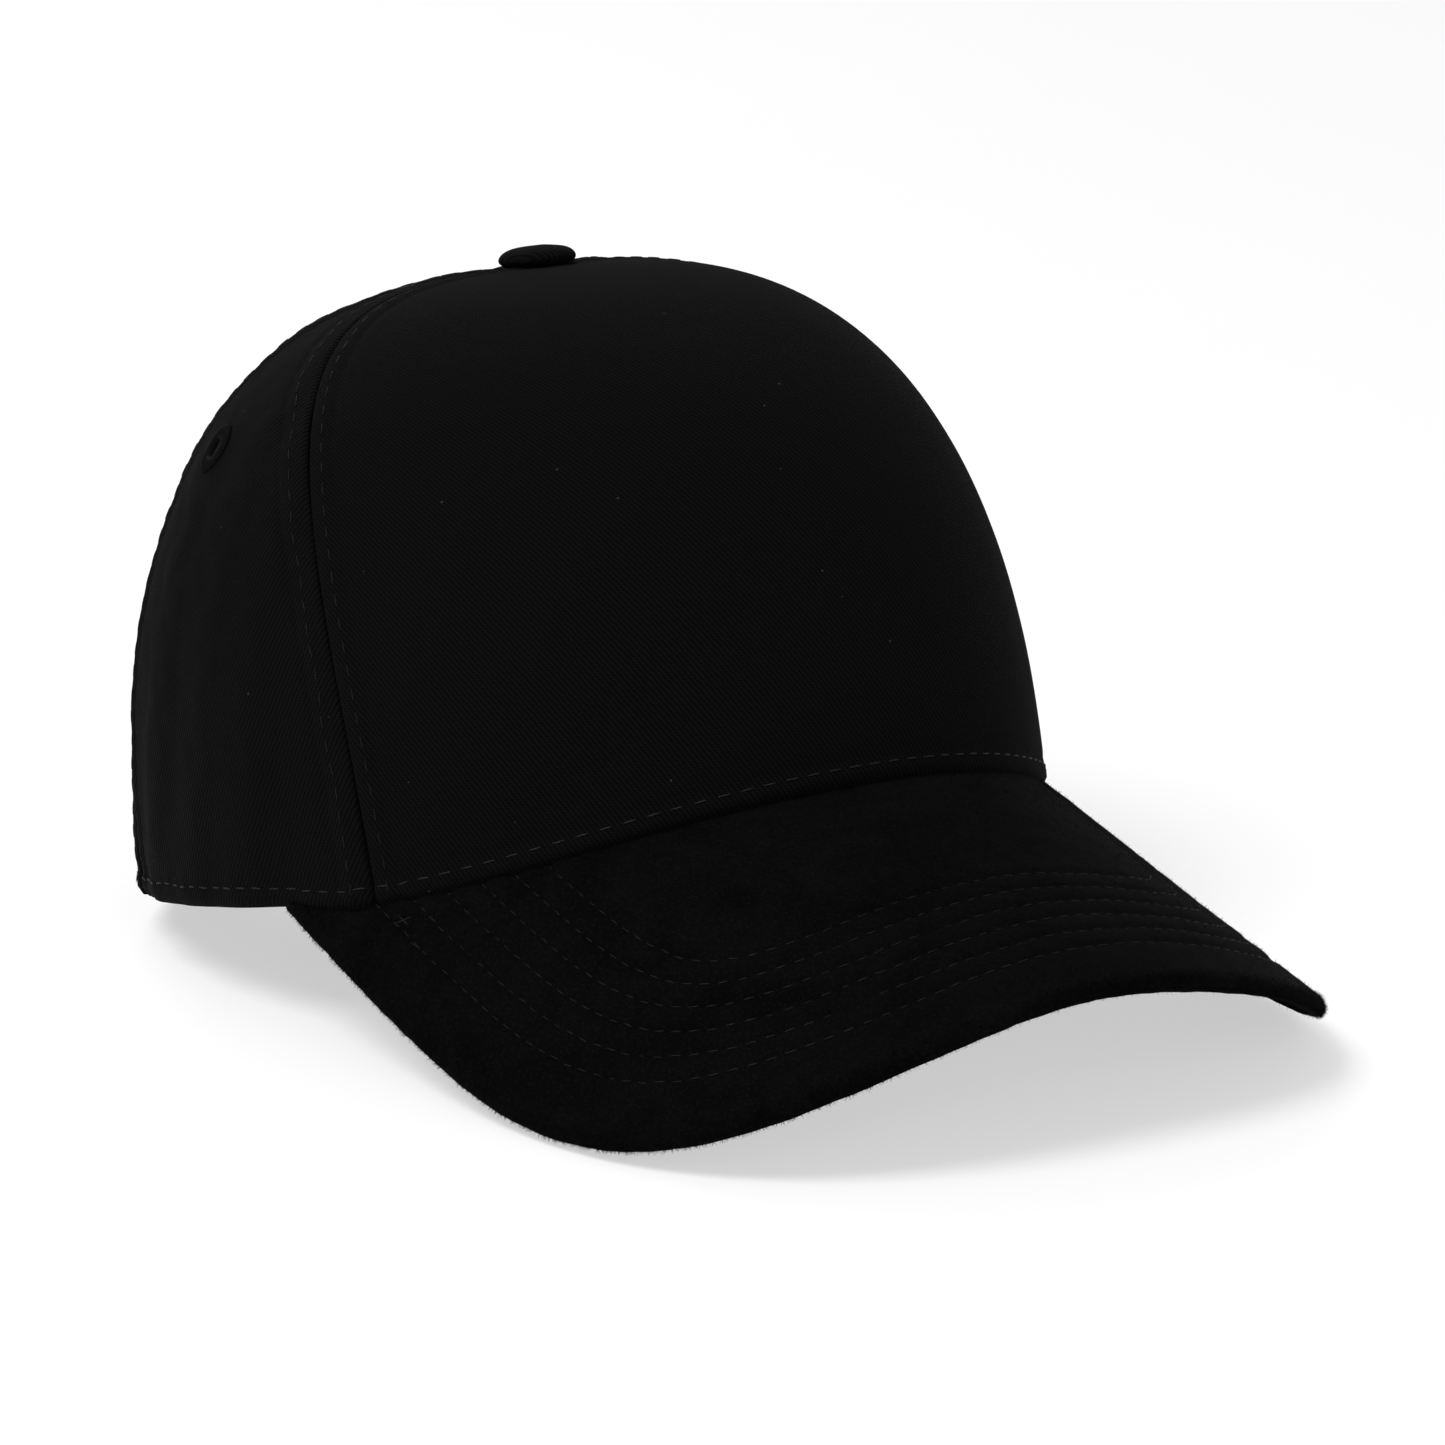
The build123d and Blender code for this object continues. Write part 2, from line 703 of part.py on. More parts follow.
above_edge = above_shell_edge(0.0)
shell = layer(shell_depth, shell_back) & above_edge
vents = []
for drop, angles in vent_rows.items():
    for angle in angles:
        vent = spoke(radians(angle), crown_height - drop, vent_radius, shell_depth)
        vents += [vent] if angle in (0.0, 180.0) else [vent, mirrored(vent)]
parts["insert_shell"] = shell - vents

trim_zone = above_shell_edge(-trim_drop) - above_shell_edge(trim_height)
trim_slot = layer(shell_depth - layer_gap, shell_back + layer_gap) & above_shell_edge(-layer_gap)
trim_band = layer(shell_depth - trim_lip, shell_back + trim_lip) & trim_zone
parts["insert_edge_trim"] = trim_band - trim_slot

pad_layer = layer(pad_face, pad_back)


def pad_wedge(edge, angle_from, angle_to, rise, drop):
    """A curved slab of foam between two angles, from above the shell's edge to below the top."""
    low, high = edge + rise, crown_height - drop

    def corner(angle):
        phi = radians(angle)
        return (FAR / 2 * sin(phi), -FAR / 2 * cos(phi))

    middle = corner((angle_from + angle_to) / 2)
    outline = Polyline((0, 0), corner(angle_from), middle, corner(angle_to), close=True)
    prism = extrude(Plane.XY.offset(low) * make_face(outline), amount=high - low)
    return pad_layer & prism


side_pad = pad_wedge(shell_side_edge, *side_pad_span)
parts["insert_front_pad"] = pad_wedge(shell_front_edge, *front_pad_span)
parts["insert_side_pad_left"] = side_pad
parts["insert_side_pad_right"] = mirrored(side_pad)
parts["insert_rear_pad"] = pad_wedge(shell_rear_edge, *rear_pad_span)
crown_pad_slab = Pos(0, 0, crown_height - crown_pad_drop + FAR / 2) * Box(FAR, FAR, FAR)
parts["insert_crown_pad"] = pad_layer & crown_pad_slab

# ---------- Hook-and-loop dots that hold the insert ----------

hooks = []
loops = []
for angle, on_buckram in dot_places:
    post = spoke(radians(angle), crown_height - dot_drop, dot_radius, shell_depth)
    hook = layer(dot_split + body_gap, dot_back) & post
    loop = layer(inner_face if on_buckram else lining_face, dot_split) & post
    hooks += [hook, mirrored(hook)]
    loops += [loop, mirrored(loop)]
parts["hook_dots"] = Compound(hooks)
parts["loop_dots"] = Compound(loops)

# ---------- Lay the cap on its rest plane ----------

# It stands on the peak's two low corners and on the crown's edge beside the opening.
rest_phi = pi - asin(opening_half_width / crown_half_width)
rest_back = crown_point(rest_phi, 0)
rest_back_z = edge_height(rest_back.Y)
under_radius = peak_radius - peak_thickness
lean = 0.0
for x, y in peak_outline(peak_edge_lean * peak_thickness):
    foot = (peak_radius - sqrt(under_radius ** 2 - x ** 2)) / cos(slope)
    corner_z = peak_crest + tan(slope) * (y + crown_half_length) - foot
    lean = max(lean, atan2(rest_back_z - corner_z, rest_back.Y - y))
tilt = Rot(-degrees(lean), 0, 0)
tilted = {name: tilt * part for name, part in parts.items()}
box = Compound(list(tilted.values())).bounding_box()
move = Pos(-(box.min.X + box.max.X) / 2, -(box.min.Y + box.max.Y) / 2, -box.min.Z)

os.makedirs("parts", exist_ok=True)
for name, part in tilted.items():
    export_step(move * part, f"parts/{name}.step")

base = move * tilt * Location((0, 0, 0))
hinge = move * tilt * buckle_seat.location * Pos(pin_x, 0, pin_height)
hinge_end = hinge * Pos(0, 1, 0)
print("lean", degrees(lean), "base", tuple(base.position))
print("hinge", tuple(hinge.position), "axis", tuple(hinge_end.position - hinge.position))
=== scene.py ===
import json
from functools import lru_cache
from math import asin, atan2, cos, exp, hypot, pi, radians, sin, sqrt, tan

import bmesh
import bpy
from mathutils import Matrix, Vector, noise
from mathutils.bvhtree import BVHTree
from mathutils.kdtree import KDTree


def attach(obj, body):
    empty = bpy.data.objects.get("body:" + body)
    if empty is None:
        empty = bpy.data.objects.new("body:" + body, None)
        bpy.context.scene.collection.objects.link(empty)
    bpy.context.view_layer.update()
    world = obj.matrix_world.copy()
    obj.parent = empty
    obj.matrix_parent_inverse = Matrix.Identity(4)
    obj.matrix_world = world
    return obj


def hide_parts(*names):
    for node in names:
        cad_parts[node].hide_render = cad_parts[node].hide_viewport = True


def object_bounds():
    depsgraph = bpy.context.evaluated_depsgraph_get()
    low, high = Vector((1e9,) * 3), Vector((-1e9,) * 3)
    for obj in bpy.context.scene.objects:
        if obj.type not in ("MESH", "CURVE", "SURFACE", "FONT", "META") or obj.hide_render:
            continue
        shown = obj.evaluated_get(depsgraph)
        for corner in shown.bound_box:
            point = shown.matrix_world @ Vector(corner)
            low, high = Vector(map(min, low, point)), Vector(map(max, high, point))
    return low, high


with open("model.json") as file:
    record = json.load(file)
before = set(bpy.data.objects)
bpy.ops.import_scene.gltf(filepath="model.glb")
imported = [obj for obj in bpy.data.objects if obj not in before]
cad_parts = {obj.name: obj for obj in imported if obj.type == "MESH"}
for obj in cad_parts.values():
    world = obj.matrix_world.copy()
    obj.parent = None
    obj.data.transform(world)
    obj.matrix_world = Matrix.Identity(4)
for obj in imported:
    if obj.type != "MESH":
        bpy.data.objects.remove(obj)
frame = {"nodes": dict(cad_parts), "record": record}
cad_low, cad_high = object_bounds()
mm = 0.001

# ---------- The studio ----------
# A white laminate table with a large soft lamp over the wearer's right, a broad one in
# front and a weak one behind.  The camera stands off the wearer's right, a little above.


def srgb(code):
    """The linear colour of an sRGB hex code."""
    parts = [int(code[i:i + 2], 16) / 255 for i in (1, 3, 5)]
    linear = [c / 12.92 if c <= 0.04045 else ((c + 0.055) / 1.055) ** 2.4 for c in parts]
    return (*linear, 1.0)


def add(tree, kind, inputs=None, **settings):
    """Adds a shader node: its settings, and its inputs as values or as outputs to link from."""
    made = tree.nodes.new("ShaderNode" + kind)
    for name, value in settings.items():
        setattr(made, name, value)
    for socket, value in (inputs or {}).items():
        if isinstance(value, bpy.types.NodeSocket):
            tree.links.new(value, made.inputs[socket])
        else:
            made.inputs[socket].default_value = value
    return made


def new_finish(name):
    """A material with an empty node tree, and the tree."""
    material = bpy.data.materials.new(name)
    material.use_nodes = True
    material.node_tree.nodes.clear()
    return material, material.node_tree


def mix(tree, share, dark, light):
    """A colour between two, each an sRGB hex code or an output, by a share."""
    dark, light = (srgb(c) if isinstance(c, str) else c for c in (dark, light))
    return add(tree, "Mix", {0: share, 6: dark, 7: light}, data_type="RGBA").outputs[2]


def calc(tree, operation, *values):
    """The result of a Math node."""
    return add(tree, "Math", dict(enumerate(values)), operation=operation).outputs[0]


scene = bpy.context.scene
scene.view_settings.view_transform = "Standard"

# Matt white laminate: no gloss, and a faint unevenness as of a wiped surface.  Seen straight
# on it also glows a little, so that the cap's shadow on it stays soft and pale.
table_finish, tree = new_finish("white_laminate")
place = add(tree, "TexCoord")
wipe = add(tree, "TexNoise", {"Vector": place.outputs["Object"], "Scale": 3.0, "Detail": 2.0})
tone = mix(tree, wipe.outputs["Fac"], "#fbfbfb", "#fefefe")
shader = add(tree, "BsdfPrincipled", {
    "Base Color": tone, "Roughness": 0.9, "Specular IOR Level": 0.1})
ray = add(tree, "LightPath")
table_glow = 0.56
seen = calc(tree, "MULTIPLY", ray.outputs["Is Camera Ray"], table_glow)
white = add(tree, "Emission", {"Color": srgb("#ffffff"), "Strength": 1.0})
lifted = add(tree, "MixShader", {0: seen, 1: shader.outputs[0], 2: white.outputs[0]})
add(tree, "OutputMaterial", {"Surface": lifted.outputs[0]})

table_half = 6.0
bm = bmesh.new()
bmesh.ops.create_grid(bm, x_segments=2, y_segments=2, size=table_half)
mesh = bpy.data.meshes.new("table")
bm.to_mesh(mesh)
bm.free()
table = bpy.data.objects.new("table", mesh)
table.data.materials.append(table_finish)
scene.collection.objects.link(table)

# The room is white to the eye and dimmer as a light.
room = bpy.data.worlds.new("studio")
scene.world = room
room.use_nodes = True
tree = room.node_tree
tree.nodes.clear()
ray = add(tree, "LightPath")
seen = calc(tree, "MAXIMUM", ray.outputs["Is Camera Ray"], ray.outputs["Is Transmission Ray"])
room_light = 0.42
strength = add(tree, "Mix", {0: seen, 2: room_light, 3: 1.0}, data_type="FLOAT")
glow = add(tree, "Background", {"Color": srgb("#ffffff"), "Strength": strength.outputs[0]})
add(tree, "OutputWorld", {"Surface": glow.outputs[0]})

# Each lamp: place, width, watts.  All point at the middle of the cap.
lamps = {
    "over_right": ((-1.1, -0.1, 1.7), 1.0, 28.0),
    "front": ((-0.6, -2.3, 1.1), 1.3, 13.0),
    "behind": ((0.6, 1.8, 1.5), 1.2, 14.0),
}
aim = (cad_low + cad_high) / 2
for name, (spot, width, watts) in lamps.items():
    light = bpy.data.lights.new(name, "AREA")
    light.shape = "DISK"
    light.size = width
    light.energy = watts
    lamp = bpy.data.objects.new(name, light)
    lamp.location = spot
    lamp.rotation_mode = "QUATERNION"
    lamp.rotation_quaternion = (aim - Vector(spot)).to_track_quat("-Z", "Y")
    scene.collection.objects.link(lamp)

# The cap's own frame: its origin is in the middle of the head opening, and it leans back.
head_opening = frame["record"]["mounts"][0]
cap_up = -Vector(head_opening["axis"])
cap_middle = Vector(head_opening["pos_m"])
cap_frame = Matrix.Translation(cap_middle) @ Vector((0, 0, 1)).rotation_difference(
    cap_up).to_matrix().to_4x4()

view_turn = radians(-34.49)
view_rise = radians(14.55)
view_roll = radians(0.21)
view_distance = 1443.2 * mm
view_side = 27.39 * mm
view_up = 26.07 * mm
sensor = 36.0
focal_length = 169.33
towards = Vector((
    sin(view_turn) * cos(view_rise), -cos(view_turn) * cos(view_rise), sin(view_rise)))
across = Vector((cos(view_turn), sin(view_turn), 0.0))
across.rotate(Matrix.Rotation(view_roll, 3, towards))
upward = towards.cross(across)
eye = bpy.data.cameras.new("camera")
eye.sensor_width = sensor
eye.lens = focal_length
eye.clip_start = 0.1
eye.clip_end = 50.0
camera = bpy.data.objects.new("camera", eye)
camera.matrix_world = Matrix.Translation(
    cap_middle + across * view_side + upward * view_up + towards * view_distance
) @ Matrix((across, upward, towards)).transposed().to_4x4()
scene.collection.objects.link(camera)
scene.camera = camera

# ---------- Crown panels ----------
# Five panels of black cotton drill, a wide one in front, two at the sides and two behind.
# Each is sewn to the next with its edges turned in, so that the joins are narrow grooves.

crown_half_width = 93.9 * mm
crown_half_length = 102.0 * mm
crown_height = 123.5 * mm
crown_top_behind = 1.1 * mm
front_meridian = (2.47, 2.29, 0.023)
side_meridian = (2.90, 2.56, 0.006)
back_meridian = (2.15, 1.72, -0.047)
height_power = 0.87

temple = radians(75.9)
temple_height = 2.6 * mm
back_height = -4.2 * mm
temple_x = crown_half_width * sin(temple)
temple_y = -crown_half_length * cos(temple)

peak_slope = radians(23.7)
peak_half_width = crown_half_width - 1.5 * mm
peak_radius = peak_half_width / sin(radians(54.0))

front_seam_foot = radians(61.9)
front_seam_top = radians(102.9)
front_seam_bow = radians(-7.0)
rear_seam = radians(118.0)

opening_half_width = 42.0 * mm
opening_top = 48.0 * mm
opening_shoulder = 16.0 * mm

drill = 1.15 * mm
fold_width = 1.2 * mm               # how far from a seam the cloth starts to turn in
fold_depth = 0.85 * mm
stitch_pitch = 4.9 * mm             # one stitch and the gap after it
stitch_pull = 0.32 * mm             # how far the stitches draw the cloth down
stitch_dip = 0.9 * mm               # and how far beside them it still dips
allowance_lift = 0.30 * mm          # how far the allowances fill it out between row and seam


def crown_point(turn, height, depth=0.0):
    """A point of the crown's surface, or of one that deep inside it, in the cap's frame."""
    ahead, beside, behind = max(cos(turn), 0) ** 2, sin(turn) ** 2, max(-cos(turn), 0) ** 2
    spread, rise_power, taper = (
        ahead * f + beside * s + behind * b
        for f, s, b in zip(front_meridian, side_meridian, back_meridian))
    rise = min(max(height / (crown_height - depth), 0.0), 1.0)
    out = (1 - rise ** rise_power) ** (1 / spread)
    wide = out * (1 - taper * rise)
    return Vector((
        (crown_half_width - depth) * sin(turn) * wide,
        crown_top_behind * (1 - out) - (crown_half_length - depth) * cos(turn) * wide,
        height))


def share_up(height):
    """How far up its meridian a height is, from 0 to 1."""
    return asin(min(max(height / crown_height, 0.0), 1.0) ** (1 / height_power)) / (pi / 2)


def front_seam(share):
    """The front seam's angle, by the share of the way up."""
    bow = front_seam_bow * 4 * share * (1 - share)
    return front_seam_top * share + front_seam_foot * (1 - share) + bow


def peak_height(x, y):
    """The height of the peak's top surface."""
    def drop(at):
        return (peak_radius - sqrt(max(peak_radius ** 2 - at ** 2, 0.0))) / cos(peak_slope)
    crest = temple_height + drop(temple_x) - tan(peak_slope) * (crown_half_length + temple_y)
    return crest + tan(peak_slope) * (y + crown_half_length) - drop(x)


@lru_cache(maxsize=None)
def foot_height(turn):
    """The height of the crown's bottom edge: on the peak in front, and straight behind."""
    height = 0.0
    for _ in range(6):
        spot = crown_point(turn, height)
        if spot.y < temple_y:
            height = peak_height(spot.x, spot.y)
        else:
            along = (spot.y - temple_y) / (crown_half_length - temple_y)
            height = temple_height + (back_height - temple_height) * along
    return height


def turn_at(x, height, depth=0.0):
    """How far round, behind, the crown reaches a distance from the middle plane."""
    turn = pi
    for _ in range(5):
        span = crown_point(turn, height, depth)
        side = crown_point(pi / 2 + 0.3, height, depth).x / sin(pi / 2 + 0.3)
        widest = span.x / sin(turn) if abs(sin(turn)) > 0.05 else side
        turn = pi - asin(max(min(x / widest, 1.0), -1.0))
    return turn


def arch_point(share, grow=0.0):
    """The edge of the opening behind, from the wearer's left foot over to the right one."""
    half, top = opening_half_width + grow, opening_top + grow
    leg = 0.18
    sign = 1 if share < 0.5 else -1
    along = min(share, 1 - share) / 0.5
    if along < leg:
        foot = foot_height(turn_at(half, 0.0))
        return sign * half, foot + (opening_shoulder - foot) * along / leg
    bend = (along - leg) / (1 - leg) * pi / 2
    return sign * half * cos(bend), opening_shoulder + (top - opening_shoulder) * sin(bend)


def climb(low, high, share):
    """A height between two others, spaced evenly along the cloth."""
    return low + (high - low) * sin(pi / 2 * share) ** height_power


crown_cap = crown_height * 0.99997


def between(start, end, low=None, high=crown_cap):
    """Places on the cloth between two seams, given as angles by the share of the way up."""
    @lru_cache(maxsize=None)
    def foot_at(across_share):
        foot = 0.0
        for _ in range(4):
            share = share_up(foot)
            foot = foot_height(start(share) + (end(share) - start(share)) * across_share)
        return foot

    def place(across_share, up_share):
        height = climb(foot_at(across_share) if low is None else low, high, up_share)
        share = share_up(height)
        return start(share) + (end(share) - start(share)) * across_share, height
    return place


def beside_opening(across_share, up_share):
    """Places on the rear panel on the wearer's left, whose foot runs up round the opening."""
    straight = 0.43
    corner = turn_at(opening_half_width, 0.0)
    top_turn = rear_seam + (pi - rear_seam) * across_share
    if across_share <= straight:
        foot_turn = rear_seam + (corner - rear_seam) * across_share / straight
        foot = foot_height(foot_turn)
    else:
        x, foot = arch_point((across_share - straight) / (1 - straight) / 2)
        foot_turn = turn_at(x, foot)
    return foot_turn + (top_turn - foot_turn) * up_share, climb(foot, crown_cap, up_share)


def map_cloth(bm, woven):
    """Gives a mesh its UV map in metres of cloth."""
    uv = bm.loops.layers.uv.new("cloth")
    for face in bm.faces:
        for loop in face.loops:
            loop[uv].uv = woven[loop.vert]


def lay_cloth(place, columns, rows, depth=0.0, crowd=0.35):
    """A grid laid on the crown, with a UV map in metres of cloth; returns it and its rows."""
    bm = bmesh.new()
    bmesh.ops.create_grid(bm, x_segments=columns, y_segments=rows, size=0.5)
    cells = {}
    for v in bm.verts:
        i, j = round((v.co.x + 0.5) * columns), round((v.co.y + 0.5) * rows)
        cells[i, j] = v
        wide, high = i / columns, j / rows
        wide -= crowd * sin(2 * pi * wide) / (2 * pi)
        high -= crowd * (high - high ** 2)
        v.co = crown_point(*place(wide, high), depth)
    woven = {}                      # each point's place on the flat cloth
    for j in range(rows + 1):
        run = [0.0]
        for i in range(columns):
            run.append(run[-1] + (cells[i + 1, j].co - cells[i, j].co).length)
        for i in range(columns + 1):
            below = cells[i, max(j - 1, 0)]
            rise = woven[below][1] if j else cells[i, 0].co.z
            woven[cells[i, j]] = (run[i] - run[columns // 2],
                                  rise + (cells[i, j].co - below.co).length)
    map_cloth(bm, woven)
    bm.normal_update()
    return bm, cells, woven


def edge_run(cells, side):
    """The points along one edge of a grid, four to a cell, and how far along each one is."""
    columns, rows = max(i for i, j in cells), max(j for i, j in cells)
    keys = {"left": [(0, j) for j in range(rows + 1)],
            "right": [(columns, j) for j in range(rows + 1)],
            "foot": [(i, 0) for i in range(columns + 1)],
            "top": [(i, rows) for i in range(columns + 1)]}
    line = [cells[key].co.copy() for key in keys[side]]
    dense = [a.lerp(b, k / 4) for a, b in zip(line, line[1:]) for k in range(4)] + [line[-1]]
    along = [0.0]
    for a, b in zip(dense, dense[1:]):
        along.append(along[-1] + (b - a).length)
    return dense, along


def tree_of(points):
    """A tree for finding the nearest of some points."""
    found = KDTree(len(points))
    for index, point in enumerate(points):
        found.insert(point, index)
    found.balance()
    return found


def shape_edges(bm, cells, edges):
    """Turns the cloth in at each edge, fills it over the allowance and draws it down at the
    stitches; edges gives, by side, how far in from the edge the stitches are."""
    lifts = dict.fromkeys(bm.verts, 0.0)
    for side, stitched in edges.items():
        line, along = edge_run(cells, side)
        nearest = tree_of(line)
        for v in bm.verts:
            _, index, away = nearest.find(v.co)
            if away < fold_width:
                lifts[v] -= fold_depth * (1 - away / fold_width) ** 2
            if stitched and away < 2 * stitched:
                pucker = 0.8 + 0.2 * cos(2 * pi * along[index] / stitch_pitch)
                lifts[v] -= stitch_pull * pucker * exp(-((away - stitched) / stitch_dip) ** 2)
                filled = (away - 0.5 * stitched) / (0.32 * stitched)
                lifts[v] += allowance_lift * exp(-filled ** 2)
    return lifts


def push(bm, lifts):
    """Moves each point along its normal."""
    moves = {v: v.normal * lift for v, lift in lifts.items()}
    for v, move in moves.items():
        v.co += move
    bm.normal_update()


def mirrored(bm):
    """A copy of a mesh on the wearer's other side."""
    other = bm.copy()
    bmesh.ops.scale(other, verts=other.verts, vec=(-1, 1, 1))
    bmesh.ops.reverse_faces(other, faces=other.faces)
    other.normal_update()
    return other


def piece(name, bm, material, body, stands_for=(), thick=0.0, out=-1.0):
    """A finished piece in the row frame, riding on a body, with a thickness if it is a sheet."""
    bm.transform(cap_frame)
    for face in bm.faces:
        face.smooth = True
    mesh = bpy.data.meshes.new(name)
    bm.to_mesh(mesh)
    bm.free()
    made = bpy.data.objects.new(name, mesh)
    made.data.materials.append(material)
    scene.collection.objects.link(made)
    if thick:
        wall = made.modifiers.new("thickness", "SOLIDIFY")
        wall.thickness = thick
        wall.offset = out
        wall.use_even_offset = False
    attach(made, body)
    if stands_for:
        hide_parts(*stands_for)
    return made


def bands(period):
    """The scale at which a Wave texture repeats at a distance."""
    return 2 * pi / (20 * period)


def grain(tree, kind, size, **inputs):
    """A Noise or Voronoi texture whose grains have a size, fixed to the piece."""
    place_on = add(tree, "TexCoord")
    made = add(tree, "Tex" + kind, {
        "Vector": place_on.outputs["Object"], "Scale": 1 / size, **inputs})
    return made.outputs["Fac" if kind == "Noise" else "Distance"]


def stripes(tree, period, where="Object", way="X", **inputs):
    """A Wave texture that repeats at a distance, on the piece or on its cloth."""
    if where == "cloth":
        source = add(tree, "UVMap", uv_map="cloth").outputs[0]
    else:
        source = add(tree, "TexCoord").outputs[where]
    made = add(tree, "TexWave", {"Vector": source, "Scale": bands(period), **inputs},
               bands_direction=way)
    return made.outputs["Fac"]


def coat(tree, colour, height, strength, distance, **surface):
    """Ends a finish: a Principled surface of a colour, made uneven by a height.  The inputs'
    names are given with underscores.  Returns the Bump node."""
    bump = add(tree, "Bump", {"Height": height, "Strength": strength, "Distance": distance})
    named = {name.replace("_", " "): value for name, value in surface.items()}
    shader = add(tree, "BsdfPrincipled", {
        "Base Color": colour, "Normal": bump.outputs[0], **named})
    add(tree, "OutputMaterial", {"Surface": shader.outputs[0]})
    return bump


# Black cotton drill, piece-dyed and brushed: steep diagonal wales of fine matt yarn, with a
# bloom of loose fibre that lifts the black at glancing angles.
drill_finish, tree = new_finish("cotton_drill")
wale_pitch = 0.95 * mm
yarn_pitch = 0.55 * mm
wale_lean = radians(-31.0)
cloth = add(tree, "UVMap", uv_map="cloth")
turned = add(tree, "VectorRotate", {"Vector": cloth.outputs[0], "Angle": wale_lean},
             rotation_type="Z_AXIS")
wales = add(tree, "TexWave", {
    "Vector": turned.outputs[0], "Scale": bands(wale_pitch), "Distortion": 1.6, "Detail": 3.0,
    "Detail Scale": 1.5}, bands_direction="X")
yarns = add(tree, "TexWave", {
    "Vector": cloth.outputs[0], "Scale": bands(yarn_pitch), "Distortion": 2.0, "Detail": 2.0},
    bands_direction="Y")
fibre = grain(tree, "Noise", 1.6 * mm, Detail=4.0, Roughness=0.7)
shade = grain(tree, "Noise", 38 * mm, Detail=3.0)
weave = calc(tree, "MULTIPLY_ADD", wales.outputs["Fac"], 0.75, 0.0)
relief = calc(tree, "MULTIPLY_ADD", yarns.outputs["Fac"], 0.25, weave)
height = calc(tree, "MULTIPLY_ADD", fibre, 0.55, relief)
# Painted highlight: the colour is lighter where the wales and yarns stand up and darker in the
# grooves between them, over the dye's random tone.
dye_tone_and_wale_highlight = mix(tree, relief, mix(tree, shade, "#030303", "#050506"), "#0d0d0e")
lint = calc(tree, "LESS_THAN", grain(tree, "Voronoi", 9 * mm), 0.028)
coat(tree, mix(tree, lint, dye_tone_and_wale_highlight, "#2c2c2e"), height, 0.75, 0.22 * mm, Roughness=0.88,
     Specular_IOR_Level=0.02, Sheen_Weight=0.005, Sheen_Roughness=0.55, Sheen_Tint=srgb("#e6e6ec"))

hem_stitch = 5.4 * mm               # from an edge of the crown to its row of stitches
seam_stitch = 6.2 * mm              # from a seam to the rows beside it
side_stitch = 7.6 * mm              # the same behind the front seam, over the allowances


fold_lean = 0.18                    # how far the folds run sideways for each step up
fold_reach = 4.5                    # how much longer than wide they are
ripple = 0.16                       # the small unevenness on them, as a share of them


def soft_folds(lifts, woven, amount, width, seed):
    """Adds the slow unevenness of cloth that hangs from its seams, as upright folds."""
    for v in lifts:
        along, up = woven[v]
        fade = min(1.0, max(0.0, (crown_height * 1.35 - up) / (crown_height * 0.5)))
        across_fold = (along + fold_lean * up) / width
        fold = noise.noise(Vector((across_fold, up / (fold_reach * width), seed)))
        small = noise.noise(Vector((along, up, seed)) / (0.35 * width))
        lifts[v] += amount * fade * fold
        lifts[v] += ripple * amount * fade * small


crown_rows = 130
front_columns = 168
front_folds = (0.35 * mm, 45 * mm, 2.3)     # how deep, how wide, and where in the noise
side_folds = {"side": (1.5 * mm, 17 * mm, 5.1), "rear": (1.5 * mm, 17 * mm, 8.6)}
cloth_surfaces = {}                 # each panel's outer face, in the cap's frame
stitch_lines = []                   # panel, the edge's points, how far in the stitches are
bm, cells, woven = lay_cloth(
    between(lambda s: -front_seam(s), front_seam), front_columns, crown_rows)
front_edges = {"left": seam_stitch, "right": seam_stitch, "foot": hem_stitch}
stitch_lines += [("front", edge_run(cells, side)[0], away) for side, away in front_edges.items()]
lifts = shape_edges(bm, cells, front_edges)
soft_folds(lifts, woven, *front_folds)
push(bm, lifts)
cloth_surfaces["front"] = BVHTree.FromBMesh(bm)
front_cloth = piece("front_cloth", bm, drill_finish, "cap", ["front_panel"], drill)

eyelet_height = 93.0 * mm
eyelet_turns = {"side": radians(102.0), "rear": radians(146.0)}
eyelet_hole = 4.3 * mm
# Each panel: its place, columns, what is between its left seam and the row, and its flat size.
side_panels = {
    "side": (between(front_seam, lambda s: rear_seam), 84, side_stitch, (0.098, 0.185), 0.0120),
    "rear": (beside_opening, 110, seam_stitch, (0.115, 0.185), 0.0130),
}
for name, (place, columns, first_row, flat, area) in side_panels.items():
    edges = {"left": first_row, "right": seam_stitch, "foot": hem_stitch}
    bm, cells, woven = lay_cloth(place, columns, crown_rows)
    for side, away in edges.items():
        line = edge_run(cells, side)[0]
        stitch_lines.append((f"{name}_left", line, away))
        stitch_lines.append((f"{name}_right", [Vector((-p.x, p.y, p.z)) for p in line], away))
    lifts = shape_edges(bm, cells, edges)
    soft_folds(lifts, woven, *side_folds[name])
    push(bm, lifts)
    hole = crown_point(eyelet_turns[name], eyelet_height)
    gone = [f for f in bm.faces if (f.calc_center_median() - hole).length < eyelet_hole]
    bmesh.ops.delete(bm, geom=gone, context="FACES")
    other = mirrored(bm)
    for side, half in (("left", bm), ("right", other)):
        cloth_surfaces[f"{name}_{side}"] = BVHTree.FromBMesh(half)
        made = piece(f"{name}_cloth_{side}", half, drill_finish, "cap",
                     [f"{name}_panel_{side}"], drill)

# ---------- Top-stitching of the crown ----------
# Rows of black polyester thread, lock-stitched through the cloth and its allowances, on both
# sides of each seam, above the peak, round the foot and round the opening behind.


def thread_of(name, dark, light):
    """Spun polyester thread, smoother than the cotton round it so that it catches more light. Where
    its colours are lighter than the cloth's, that is painted highlight.
    """
    finish, tree = new_finish(name)
    ply = stripes(tree, 0.35 * mm, way="DIAGONAL")
    coat(tree, mix(tree, ply, dark, light), ply, 0.5, 0.06 * mm, Roughness=0.5,
         Specular_IOR_Level=0.10)
    return finish
